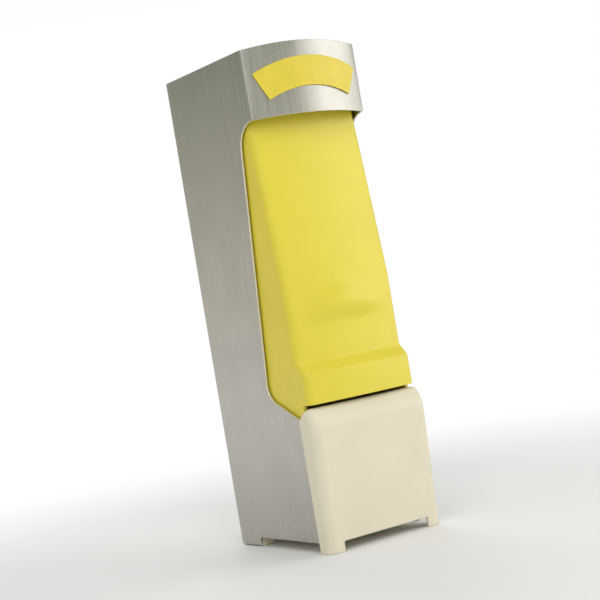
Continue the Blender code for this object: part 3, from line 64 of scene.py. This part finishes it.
STEEL_COLOUR = (0.490, 0.475, 0.430, 1)
# The edge colour is partly the bare cut metal's own paler tone and partly a painted highlight along the
# edge.
EDGE_TONE_AND_HIGHLIGHT = (0.900, 0.895, 0.890, 1)
STEEL_EASE = 0.00016
BEND = 0.0008
SHEET = 0.0009
BROW_FOOT = 0.1850
SLACK = 0.0001


def open_copy(node, name):
    """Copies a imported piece, joins its triangles and leaves it selected and open in edit mode."""
    piece = bpy.data.objects.new(name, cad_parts[node].data.copy())
    bpy.context.scene.collection.objects.link(piece)
    piece.data.materials.clear()
    bpy.ops.object.select_all(action="DESELECT")
    piece.select_set(True)
    bpy.context.view_layer.objects.active = piece
    bpy.ops.object.mode_set(mode="EDIT")
    bpy.ops.mesh.select_all(action="SELECT")
    bpy.ops.mesh.remove_doubles(threshold=0.000002)
    bpy.ops.mesh.dissolve_limited(angle_limit=radians(0.4))
    return piece


def ease_edges(piece, ease, steps=2, sharp=30):
    """Breaks the edges, as deburring or the mould leaves them, and keeps the flats flat."""
    bpy.ops.object.mode_set(mode="OBJECT")
    bpy.ops.object.modifier_add(type="BEVEL")
    soft = piece.modifiers[-1]
    soft.width = ease
    soft.segments = steps
    soft.limit_method = "ANGLE"
    soft.angle_limit = radians(sharp)
    soft.use_clamp_overlap = False
    bpy.ops.object.modifier_apply(modifier=soft.name)
    bpy.ops.object.shade_smooth_by_angle(angle=radians(sharp))
    bpy.ops.object.modifier_add(type="WEIGHTED_NORMAL")
    flats = piece.modifiers[-1]
    flats.keep_sharp = True
    bpy.ops.object.modifier_apply(modifier=flats.name)


def select_faces(piece, wanted):
    """Selects faces in edit mode by their middle and their normal."""
    bpy.ops.mesh.select_mode(type="FACE")
    bpy.ops.mesh.select_all(action="DESELECT")
    bpy.ops.object.mode_set(mode="OBJECT")
    for face in piece.data.polygons:
        face.select = wanted(face.center, face.normal)
    bpy.ops.object.mode_set(mode="EDIT")


def select_edges(piece, wanted):
    """Selects edges in edit mode by their two ends."""
    bpy.ops.mesh.select_mode(type="EDGE")
    bpy.ops.mesh.select_all(action="DESELECT")
    bpy.ops.object.mode_set(mode="OBJECT")
    corners = piece.data.vertices
    for edge in piece.data.edges:
        edge.select = wanted(*(corners[corner].co for corner in edge.vertices))
    bpy.ops.object.mode_set(mode="EDIT")


def new_finish(name):
    """Starts a material and returns it with its tree, its shader and its Object coordinates."""
    finish = bpy.data.materials.new(name)
    finish.use_nodes = True
    tree = finish.node_tree
    place = tree.nodes.new("ShaderNodeTexCoord").outputs["Object"]
    return finish, tree, tree.nodes["Principled BSDF"], place


def stretched(tree, place, across, along):
    """Squeezes the pattern across the sheet and draws it out along Z."""
    mapping = tree.nodes.new("ShaderNodeMapping")
    mapping.inputs["Scale"].default_value = (across, across, along)
    tree.links.new(place, mapping.inputs["Vector"])
    return mapping.outputs["Vector"]


def mottle(tree, place, scale, detail=3.0, roughness=0.5):
    noise = tree.nodes.new("ShaderNodeTexNoise")
    noise.inputs["Scale"].default_value = scale
    noise.inputs["Detail"].default_value = detail
    noise.inputs["Roughness"].default_value = roughness
    tree.links.new(place, noise.inputs["Vector"])
    return noise.outputs["Fac"]


def ramp(tree, value, low, high, start=0.3, end=0.7):
    """Turns a pattern into a range of values or colours."""
    steps = tree.nodes.new("ShaderNodeMapRange")
    steps.inputs["From Min"].default_value = start
    steps.inputs["From Max"].default_value = end
    steps.inputs["To Min"].default_value = low
    steps.inputs["To Max"].default_value = high
    tree.links.new(value, steps.inputs["Value"])
    return steps.outputs["Result"]


def tint(tree, value, low, high, start=0.3, end=0.7):
    shades = tree.nodes.new("ShaderNodeValToRGB")
    shades.color_ramp.elements[0].position = start
    shades.color_ramp.elements[0].color = low
    shades.color_ramp.elements[1].position = end
    shades.color_ramp.elements[1].color = high
    tree.links.new(value, shades.inputs["Fac"])
    return shades.outputs["Color"]


def relief(tree, shader, value, height, strength=1.0):
    bump = tree.nodes.new("ShaderNodeBump")
    bump.inputs["Distance"].default_value = height
    bump.inputs["Strength"].default_value = strength
    tree.links.new(value, bump.inputs["Height"])
    tree.links.new(bump.outputs["Normal"], shader.inputs["Normal"])


def darker(colour, share):
    return tuple(channel * share for channel in colour[:3]) + (1,)


def mixed(tree, first, second, share):
    """Adds a share of the second pattern to the rest of the first."""
    part = tree.nodes.new("ShaderNodeMath")
    part.operation = "MULTIPLY"
    part.inputs[1].default_value = share
    tree.links.new(second, part.inputs[0])
    whole = tree.nodes.new("ShaderNodeMath")
    whole.operation = "MULTIPLY_ADD"
    whole.inputs[1].default_value = 1 - share
    tree.links.new(first, whole.inputs[0])
    tree.links.new(part.outputs["Value"], whole.inputs[2])
    return whole.outputs["Value"]


def brushed_steel():
    finish, tree, shader, place = new_finish("satin brushed steel")
    shader.inputs["Metallic"].default_value = 1.0
    shader.inputs["Anisotropic"].default_value = 0.35
    hairs = mottle(tree, stretched(tree, place, 1.0, 0.012), 5200, 2.0)
    strokes = mottle(tree, stretched(tree, place, 1.0, 0.022), 1500, 3.0, 0.6)
    brushing = mixed(tree, hairs, strokes, 0.55)
    smears = mottle(tree, place, 38, 4.0)
    tree.links.new(tint(tree, brushing, darker(STEEL_COLOUR, 0.86), STEEL_COLOUR, 0.36, 0.60),
                   shader.inputs["Base Color"])
    tree.links.new(ramp(tree, mixed(tree, smears, brushing, 0.5), 0.24, 0.40, 0.38, 0.62),
                   shader.inputs["Roughness"])
    relief(tree, shader, brushing, 0.000005)
    return finish


def sheared_steel():
    """The cut edge of the sheet: duller than its brushed face, and paler, partly as bare cut metal and
    partly as a painted highlight along the edge.
    """
    finish, tree, shader, place = new_finish("sheared edge, partly painted highlight")
    shader.inputs["Metallic"].default_value = 0.6
    burr = mottle(tree, place, 2600, 2.0)
    tree.links.new(tint(tree, burr, darker(EDGE_TONE_AND_HIGHLIGHT, 0.90), EDGE_TONE_AND_HIGHLIGHT), shader.inputs["Base Color"])
    tree.links.new(ramp(tree, burr, 0.46, 0.60), shader.inputs["Roughness"])
    relief(tree, shader, burr, 0.000008)
    return finish


brushed = brushed_steel()
wrap_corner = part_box("shell")[1]
wrap = open_copy("shell", "steel_wrap")


def is_fold(one, two):
    """Tells the upright outer folds: those of the back over the whole height, and the brow's two."""
    upright = abs(one.z - two.z) > 3 * BEND and (one - two).xy.length < SLACK
    outside = abs(one.x) > wrap_corner.x - SLACK
    at_back = one.y > wrap_corner.y - SLACK
    return upright and outside and (at_back or min(one.z, two.z) > BROW_FOOT)


def is_cut_edge(middle, normal):
    """Tells the sheet's cut edges: the side walls' front ones, and all that face up or down."""
    in_side = abs(middle.x) > wrap_corner.x - 1.2 * SHEET and middle.z < BROW_FOOT
    to_front = abs(normal.x) < 0.5 and normal.y < 0.3
    return in_side and to_front or abs(normal.z) > 0.6


select_edges(wrap, is_fold)
bpy.ops.mesh.bevel(offset=BEND, segments=4, affect="EDGES")
ease_edges(wrap, STEEL_EASE)
wrap.data.materials.append(brushed)
# The cut edges get the paler finish, part of which is a painted highlight.
wrap.data.materials.append(sheared_steel())
for face in wrap.data.polygons:
    if is_cut_edge(face.center, face.normal):
        face.material_index = 1
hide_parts("shell")
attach(wrap, "housing")


# Badge
# An arched band of thick yellow film is stuck to the brow and follows its bow.
# It is die-cut, with a raised rim pressed round its edge, and it is left bare.

BADGE_COLOUR = (0.780, 0.620, 0.050, 1)
BADGE_RIM = 0.0012
BADGE_SINK = 0.00030
BADGE_EASE = 0.00007


def pressed_film(colour):
    finish, tree, shader, place = new_finish("yellow film")
    cloud = mottle(tree, place, 160, 3.0)
    tree.links.new(tint(tree, cloud, darker(colour, 0.93), colour), shader.inputs["Base Color"])
    tree.links.new(ramp(tree, cloud, 0.34, 0.44), shader.inputs["Roughness"])
    relief(tree, shader, mottle(tree, place, 900, 2.0), 0.00001)
    return finish


badge = open_copy("banner", "badge_film")
select_faces(badge, lambda middle, normal: normal.y < -0.5)
bpy.ops.mesh.inset(thickness=BADGE_RIM)
bpy.ops.transform.translate(value=(0, BADGE_SINK, 0))
ease_edges(badge, BADGE_EASE)
badge.data.materials.append(pressed_film(BADGE_COLOUR))
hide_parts("banner")
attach(badge, "housing")


# Lever
# The yellow squeeze lever is one moulding of hard plastic: a crowned front panel with a thumb ridge
# and a lip, between two flanges that turn on the pin at the top and carry the wire at the bottom.

LEVER_COLOUR = (0.790, 0.660, 0.050, 1)
LEVER_ROUGHNESS = 0.34
LEVER_EASE = 0.0003


def moulded(name, colour, roughness, grain=1400, depth=0.000012):
    """Moulded plastic or rubber: a little cloud in its colour and a fine spark-eroded skin."""
    finish, tree, shader, place = new_finish(name)
    cloud = mottle(tree, place, 45, 4.0)
    tree.links.new(tint(tree, cloud, darker(colour, 0.95), colour), shader.inputs["Base Color"])
    sheen = mottle(tree, place, 260, 3.0)
    tree.links.new(ramp(tree, sheen, roughness - 0.04, roughness + 0.05), shader.inputs["Roughness"])
    relief(tree, shader, mottle(tree, place, grain, 2.0), depth)
    return finish


yellow = moulded("yellow moulding", LEVER_COLOUR, LEVER_ROUGHNESS)
lever = open_copy("lever", "squeeze_lever")
ease_edges(lever, LEVER_EASE, 3)
lever.data.materials.append(yellow)
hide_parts("lever")
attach(lever, "lever")


# Nose
# A cream cap closes the lower front: a thin moulded box with round corners and two front feet.
# It is pushed up inside the steel and held by two screws from below.

CREAM_COLOUR = (0.790, 0.725, 0.550, 1)
CREAM_ROUGHNESS = 0.42
NOSE_EASE = 0.0003

cream = moulded("cream moulding", CREAM_COLOUR, CREAM_ROUGHNESS)
nose = open_copy("nose", "nose_cap")
ease_edges(nose, NOSE_EASE, 3)
nose.data.materials.append(cream)
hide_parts("nose")
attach(nose, "housing")


# Lid
# The cream lid closes the top inside the steel's rim, and two screws hold it to the chamber's rails.
# It is moulded with a shallow sunk field, and its ears reach down to carry the lever's pin.

MOULD_EASE = 0.00022
LID_TOP = 0.2135
LID_FIELD = ((-0.0205, -0.0245), (0.0205, 0.0275))
FIELD_SINK = 0.0008
FIELD_CORNER = 0.0035


def cut_away(piece, tool):
    """Takes the tool's shape out of a piece, removes the tool and leaves the piece selected."""
    bpy.ops.object.mode_set(mode="OBJECT")
    bpy.ops.object.select_all(action="DESELECT")
    piece.select_set(True)
    bpy.context.view_layer.objects.active = piece
    bpy.ops.object.modifier_add(type="BOOLEAN")
    cut = piece.modifiers[-1]
    cut.object = tool
    cut.operation = "DIFFERENCE"
    cut.solver = "EXACT"
    bpy.ops.object.modifier_apply(modifier=cut.name)
    bpy.data.objects.remove(tool)


def sink_field(piece, low, high):
    """Sinks a flat field with round corners into a moulding, in the thin direction of the box given."""
    bpy.ops.object.mode_set(mode="OBJECT")
    bpy.ops.object.select_all(action="DESELECT")
    size = Vector(high) - Vector(low)
    bpy.ops.mesh.primitive_cube_add(size=1, location=(Vector(low) + Vector(high)) / 2)
    pad = bpy.context.object
    pad.scale = size
    bpy.ops.object.transform_apply(location=True, rotation=True, scale=True)
    bpy.ops.object.mode_set(mode="EDIT")
    thin = min(range(3), key=lambda axis: size[axis])
    select_edges(pad, lambda one, two: abs(one[thin] - two[thin]) > size[thin] / 2)
    bpy.ops.mesh.bevel(offset=FIELD_CORNER, segments=6, affect="EDGES")
    cut_away(piece, pad)


def dress(piece, node, body):
    """Breaks a cream moulding's edges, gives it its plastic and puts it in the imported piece's place."""
    ease_edges(piece, MOULD_EASE)
    piece.data.materials.append(cream)
    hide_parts(node)
    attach(piece, body)


lid = open_copy("top_cap", "lid")
sink_field(lid, (*LID_FIELD[0], LID_TOP - FIELD_SINK), (*LID_FIELD[1], LID_TOP + FIELD_SINK))
dress(lid, "top_cap", "housing")


# Door
# The cream door closes the back over its whole height and turns on a steel pin through its foot.
# It is one thin moulding with a sunk field, a knuckle below and a window for the button above.

DOOR_BACK = 0.0368
DOOR_FIELD = ((-0.0185, 0.0250), (0.0185, 0.1780))

door = open_copy("door", "loading_door")
sink_field(door, (DOOR_FIELD[0][0], DOOR_BACK - FIELD_SINK, DOOR_FIELD[0][1]),
           (DOOR_FIELD[1][0], DOOR_BACK + FIELD_SINK, DOOR_FIELD[1][1]))
dress(door, "door", "door")


# Chamber, floor frame, pusher and button
# These cream mouldings hold the butter, close the foot, push the butter down and latch the door.
# The chamber slides up into the steel, and screws from below pull the floor frame against it.

for node, name, body in (("chamber", "butter_chamber", "housing"), ("base_plate", "floor_frame", "housing"),
                         ("pusher", "butter_pusher", "pusher"), ("latch_button", "door_button", "latch")):
    dress(open_copy(node, name), node, body)


# Rods, crank and grips
# The lever's crank, the two rods in the chamber and the two grip plates on them are plain steel.
# They are cut or turned to shape and left in the same satin finish as the body.

for node in ("feed_crank", "feed_bar", "guide_bar", "drive_grip", "hold_grip"):
    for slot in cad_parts[node].material_slots:
        slot.material = brushed


# Screws
# Ten pan-head screws hold the body together: four in the back lips, two in the lid, four from below.
# They are bought in, cold headed with a crossed recess, and zinc plated.

ZINC_COLOUR = (0.62, 0.62, 0.61, 1)
ZINC_SHADE = (0.50, 0.50, 0.49, 1)
SCREW_HEAD = 0.0021
SCREW_CAP = 0.0010
SCREW_DOME = 0.0006
SCREW_SHANK = 0.0011
SCREW_LENGTH = 0.0070
RECESS_HALF = 0.00022
RECESS_ARM = 0.00085
RECESS_DEPTH = 0.00055
QUARTER = radians(90)


def zinc_plate():
    finish, tree, shader, place = new_finish("bright zinc plate")
    shader.inputs["Metallic"].default_value = 1.0
    spangle = mottle(tree, place, 1500, 2.0)
    tree.links.new(tint(tree, spangle, ZINC_SHADE, ZINC_COLOUR), shader.inputs["Base Color"])
    tree.links.new(ramp(tree, spangle, 0.22, 0.34), shader.inputs["Roughness"])
    relief(tree, shader, spangle, 0.000008)
    return finish


zinc = zinc_plate()
bpy.ops.object.select_all(action="DESELECT")
bpy.ops.mesh.primitive_cylinder_add(vertices=32, radius=SCREW_HEAD, depth=SCREW_CAP,
                                    location=(0, 0, SCREW_CAP / 2))
screw = bpy.context.object
bpy.ops.object.transform_apply(location=True, rotation=True, scale=True)
bpy.ops.object.mode_set(mode="EDIT")
select_faces(screw, lambda middle, normal: normal.z < -0.9)
bpy.ops.mesh.inset(thickness=SCREW_HEAD - SCREW_SHANK)
bpy.ops.mesh.extrude_region_move(TRANSFORM_OT_translate={"value": (0, 0, -SCREW_LENGTH)})
select_faces(screw, lambda middle, normal: normal.z > 0.9)
bpy.ops.mesh.bevel(offset=SCREW_DOME, segments=5, affect="EDGES")
bpy.ops.object.mode_set(mode="OBJECT")
bpy.ops.object.select_all(action="DESELECT")
bpy.ops.mesh.primitive_cube_add(size=2 * RECESS_HALF, location=(0, 0, SCREW_CAP))
punch = bpy.context.object
punch.scale = (1, 1, RECESS_DEPTH / RECESS_HALF)
bpy.ops.object.transform_apply(location=True, rotation=True, scale=True)
bpy.ops.object.mode_set(mode="EDIT")
select_faces(punch, lambda middle, normal: abs(normal.z) < 0.5)
bpy.ops.mesh.extrude_faces_move(TRANSFORM_OT_shrink_fatten={"value": RECESS_ARM - RECESS_HALF})
cut_away(screw, punch)
bpy.ops.object.shade_smooth_by_angle(angle=radians(35))
screw.data.materials.clear()
screw.data.materials.append(zinc)

for node, turn in (("frame_screw_1", -QUARTER), ("frame_screw_2", -QUARTER), ("frame_screw_3", -QUARTER),
                   ("frame_screw_4", -QUARTER), ("cap_screw_left", 0), ("cap_screw_right", 0),
                   ("nose_screw_left", 2 * QUARTER), ("nose_screw_right", 2 * QUARTER),
                   ("pillar_screw_left", 2 * QUARTER), ("pillar_screw_right", 2 * QUARTER)):
    copy = bpy.data.objects.new("pan_" + node, screw.data.copy())
    bpy.context.scene.collection.objects.link(copy)
    bpy.ops.object.select_all(action="DESELECT")
    copy.select_set(True)
    bpy.context.view_layer.objects.active = copy
    low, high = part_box(node)
    spread = (high.x - low.x) / (2 * SCREW_HEAD)
    stretch = max(high - low) / (SCREW_CAP + SCREW_LENGTH)
    copy.scale = (spread, spread, stretch)
    copy.rotation_euler = (turn, 0, 0)
    tip = Vector((0, -sin(turn), cos(turn)))
    copy.location = (low + high) / 2 + tip * (max(high - low) / 2 - SCREW_CAP * stretch)
    bpy.ops.object.transform_apply(location=True, rotation=True, scale=True)
    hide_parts(node)
    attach(copy, "housing")
bpy.data.objects.remove(screw)


# Pins, rivets and wire screws
# The lever, door and feed pins are ground rod, pressed or riveted in at their ends.
# Two neck screws in the lever's flanges hold the cutting wire and stretch it.

for name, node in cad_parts.items():
    if name.endswith("_pin") or name.startswith(("wire_screw", "crank_rivet")):
        for slot in node.material_slots:
            slot.material = zinc


# Springs and cutting wire
# The springs are wound from music wire: one round the lever's pin, one under the button, one in each grip.
# The cutter is a straight stainless wire, looped round its two screws.

COIL_LEVELS = 2
BUTTON_STROKE = 0.0022
GRIP_STROKE = 0.0007

coils = {}
for node in ("lever_spring", "latch_spring", "drive_grip_spring", "hold_grip_spring", "cutter_wire"):
    coil = open_copy(node, "wound_" + node)
    bpy.ops.object.mode_set(mode="OBJECT")
    bpy.ops.object.modifier_add(type="SUBSURF")
    smooth = coil.modifiers[-1]
    smooth.levels = smooth.render_levels = COIL_LEVELS
    bpy.ops.object.modifier_apply(modifier=smooth.name)
    bpy.ops.object.shade_smooth()
    coil.data.materials.append(zinc)
    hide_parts(node)
    coils[node] = coil
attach(coils["cutter_wire"], "lever")
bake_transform(coils["lever_spring"])
for node, body, joint, stroke in (("latch_spring", "door", "latch_slide", BUTTON_STROKE),
                                  ("drive_grip_spring", "pusher", "drive_grip_tilt", GRIP_STROKE),
                                  ("hold_grip_spring", "pusher", "hold_grip_tilt", GRIP_STROKE)):
    low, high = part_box(node)
    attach(coils[node], body)
    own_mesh(coils[node])


# Bushes, pads and the pusher's foot
# Grey nylon bushes and foot slide against steel and butter; the black stop pads are rubber.

NYLON_COLOUR = (0.420, 0.420, 0.410, 1)
NYLON_ROUGHNESS = 0.48
RUBBER_COLOUR = (0.035, 0.035, 0.036, 1)
RUBBER_ROUGHNESS = 0.62

grey = moulded("grey nylon", NYLON_COLOUR, NYLON_ROUGHNESS)
rubber = moulded("black rubber", RUBBER_COLOUR, RUBBER_ROUGHNESS, grain=700, depth=0.00003)
for node, finish in (("lever_bush_left", grey), ("lever_bush_right", grey), ("pusher_foot", grey),
                     ("stop_pad_left", rubber), ("stop_pad_right", rubber)):
    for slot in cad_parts[node].material_slots:
        slot.material = finish


# Floor
# A wide pale sheet of paper lies under the feet and takes the shadow.
# Towards its rim the camera and polished metal see it as plain white, like the backdrop.

PAPER_COLOUR = (0.86, 0.86, 0.85, 1)
PAPER_SIZE = 6
PAPER_DROP = 0.0001
FADE_START = 0.14
FADE_END = 0.42


def either_ray(tree, path, first, second):
    """Is 1 for rays of the two kinds named, and 0 for all others."""
    seen = tree.nodes.new("ShaderNodeMath")
    seen.operation = "MAXIMUM"
    tree.links.new(path.outputs[first], seen.inputs[0])
    tree.links.new(path.outputs[second], seen.inputs[1])
    return seen.outputs["Value"]


def either_shader(tree, share, first, second):
    """Shows the first shader where the share is 0, and the second where it is 1."""
    choice = tree.nodes.new("ShaderNodeMixShader")
    tree.links.new(share, choice.inputs["Fac"])
    tree.links.new(first, choice.inputs[1])
    tree.links.new(second, choice.inputs[2])
    return choice.outputs["Shader"]


bpy.ops.mesh.primitive_plane_add(size=PAPER_SIZE, location=(0, 0, -PAPER_DROP))
floor = bpy.context.object
floor.name = "pale_floor"
finish, tree, shader, place = new_finish("pale sheet")
shader.inputs["Base Color"].default_value = PAPER_COLOUR
shader.inputs["Roughness"].default_value = 0.9
floor.data.materials.append(finish)
distance = tree.nodes.new("ShaderNodeVectorMath")
distance.operation = "LENGTH"
tree.links.new(place, distance.inputs[0])
fade = tree.nodes.new("ShaderNodeMapRange")
fade.interpolation_type = "SMOOTHSTEP"
fade.inputs["From Min"].default_value = FADE_START
fade.inputs["From Max"].default_value = FADE_END
tree.links.new(distance.outputs["Value"], fade.inputs["Value"])
path = tree.nodes.new("ShaderNodeLightPath")
weight = tree.nodes.new("ShaderNodeMath")
weight.operation = "MULTIPLY"
tree.links.new(either_ray(tree, path, "Is Camera Ray", "Is Glossy Ray"), weight.inputs[0])
tree.links.new(fade.outputs["Result"], weight.inputs[1])
white = tree.nodes.new("ShaderNodeEmission")
paper = either_shader(tree, weight.outputs["Value"], shader.outputs["BSDF"], white.outputs["Emission"])
tree.links.new(paper, tree.nodes["Material Output"].inputs["Surface"])


# Light
# Three soft boxes light the piece: a key at the upper left, a fill at the right and one behind.
# Diffuse surfaces take an even pale surround, and steel sees a room that darkens above the table.

SURROUND = 0.55
BACKDROP_LOW = (1, 1, 1, 1)
BACKDROP_HIGH = (0.62, 0.63, 0.64, 1)
ROOM_LOW = (0.94, 0.90, 0.84, 1)
ROOM_HIGH = (0.29, 0.335, 0.265, 1)

world = bpy.data.worlds.new("studio")
bpy.context.scene.world = world
world.use_nodes = True
tree = world.node_tree
surround = tree.nodes["Background"]
surround.inputs["Color"].default_value = (1, 1, 1, 1)
surround.inputs["Strength"].default_value = SURROUND
height = tree.nodes.new("ShaderNodeSeparateXYZ")
tree.links.new(tree.nodes.new("ShaderNodeTexCoord").outputs["Generated"], height.inputs["Vector"])
level = height.outputs["Z"]
backdrop = tree.nodes.new("ShaderNodeBackground")
tree.links.new(tint(tree, level, BACKDROP_LOW, BACKDROP_HIGH, 0.20, 0.80), backdrop.inputs["Color"])
room = tree.nodes.new("ShaderNodeBackground")
tree.links.new(tint(tree, level, ROOM_LOW, ROOM_HIGH, 0.0, 0.20), room.inputs["Color"])
path = tree.nodes.new("ShaderNodeLightPath")
plain = either_shader(tree, either_ray(tree, path, "Is Camera Ray", "Is Transmission Ray"),
                      surround.outputs["Background"], backdrop.outputs["Background"])
studio = either_shader(tree, path.outputs["Is Glossy Ray"], plain, room.outputs["Background"])
tree.links.new(studio, tree.nodes["World Output"].inputs["Surface"])


def lamp(name, place, aim, size, watts):
    bpy.ops.object.light_add(type="AREA", location=place)
    light = bpy.context.object
    light.name = name
    light.data.size = size
    light.data.energy = watts
    light.rotation_mode = "QUATERNION"
    light.rotation_quaternion = (Vector(aim) - Vector(place)).to_track_quat("-Z", "Y")


lamp("key", place=(-0.50, -0.80, 0.88), aim=(0, 0, 0.1), size=1.0, watts=5.6)
lamp("fill", place=(0.80, -0.62, 0.35), aim=(0, 0, 0.1), size=0.7, watts=3.0)
lamp("back", place=(0.35, 0.85, 0.55), aim=(0, 0, 0.12), size=0.6, watts=3.0)


# Camera
# It stands level with the middle of the body, 33 degrees to the left of the front, and is rolled
# so that the top leans to the left.

AIM = Vector((0, 0, 0.107))
DISTANCE = 0.631
AZIMUTH = radians(-33)
ELEVATION = radians(0.4)
LEAN = radians(9.5)
LENS = 84
NEAR = 0.01

bpy.ops.object.camera_add()
camera = bpy.context.object
camera.data.lens = LENS
camera.data.clip_start = NEAR
back = Vector((sin(AZIMUTH) * cos(ELEVATION), -cos(AZIMUTH) * cos(ELEVATION), sin(ELEVATION)))
camera.location = AIM + back * DISTANCE
camera.rotation_mode = "QUATERNION"
camera.rotation_quaternion = (-back).to_track_quat("-Z", "Y") @ Quaternion((0, 0, 1), -LEAN)
bpy.context.scene.camera = camera

bpy.context.scene.view_settings.view_transform = "Standard"
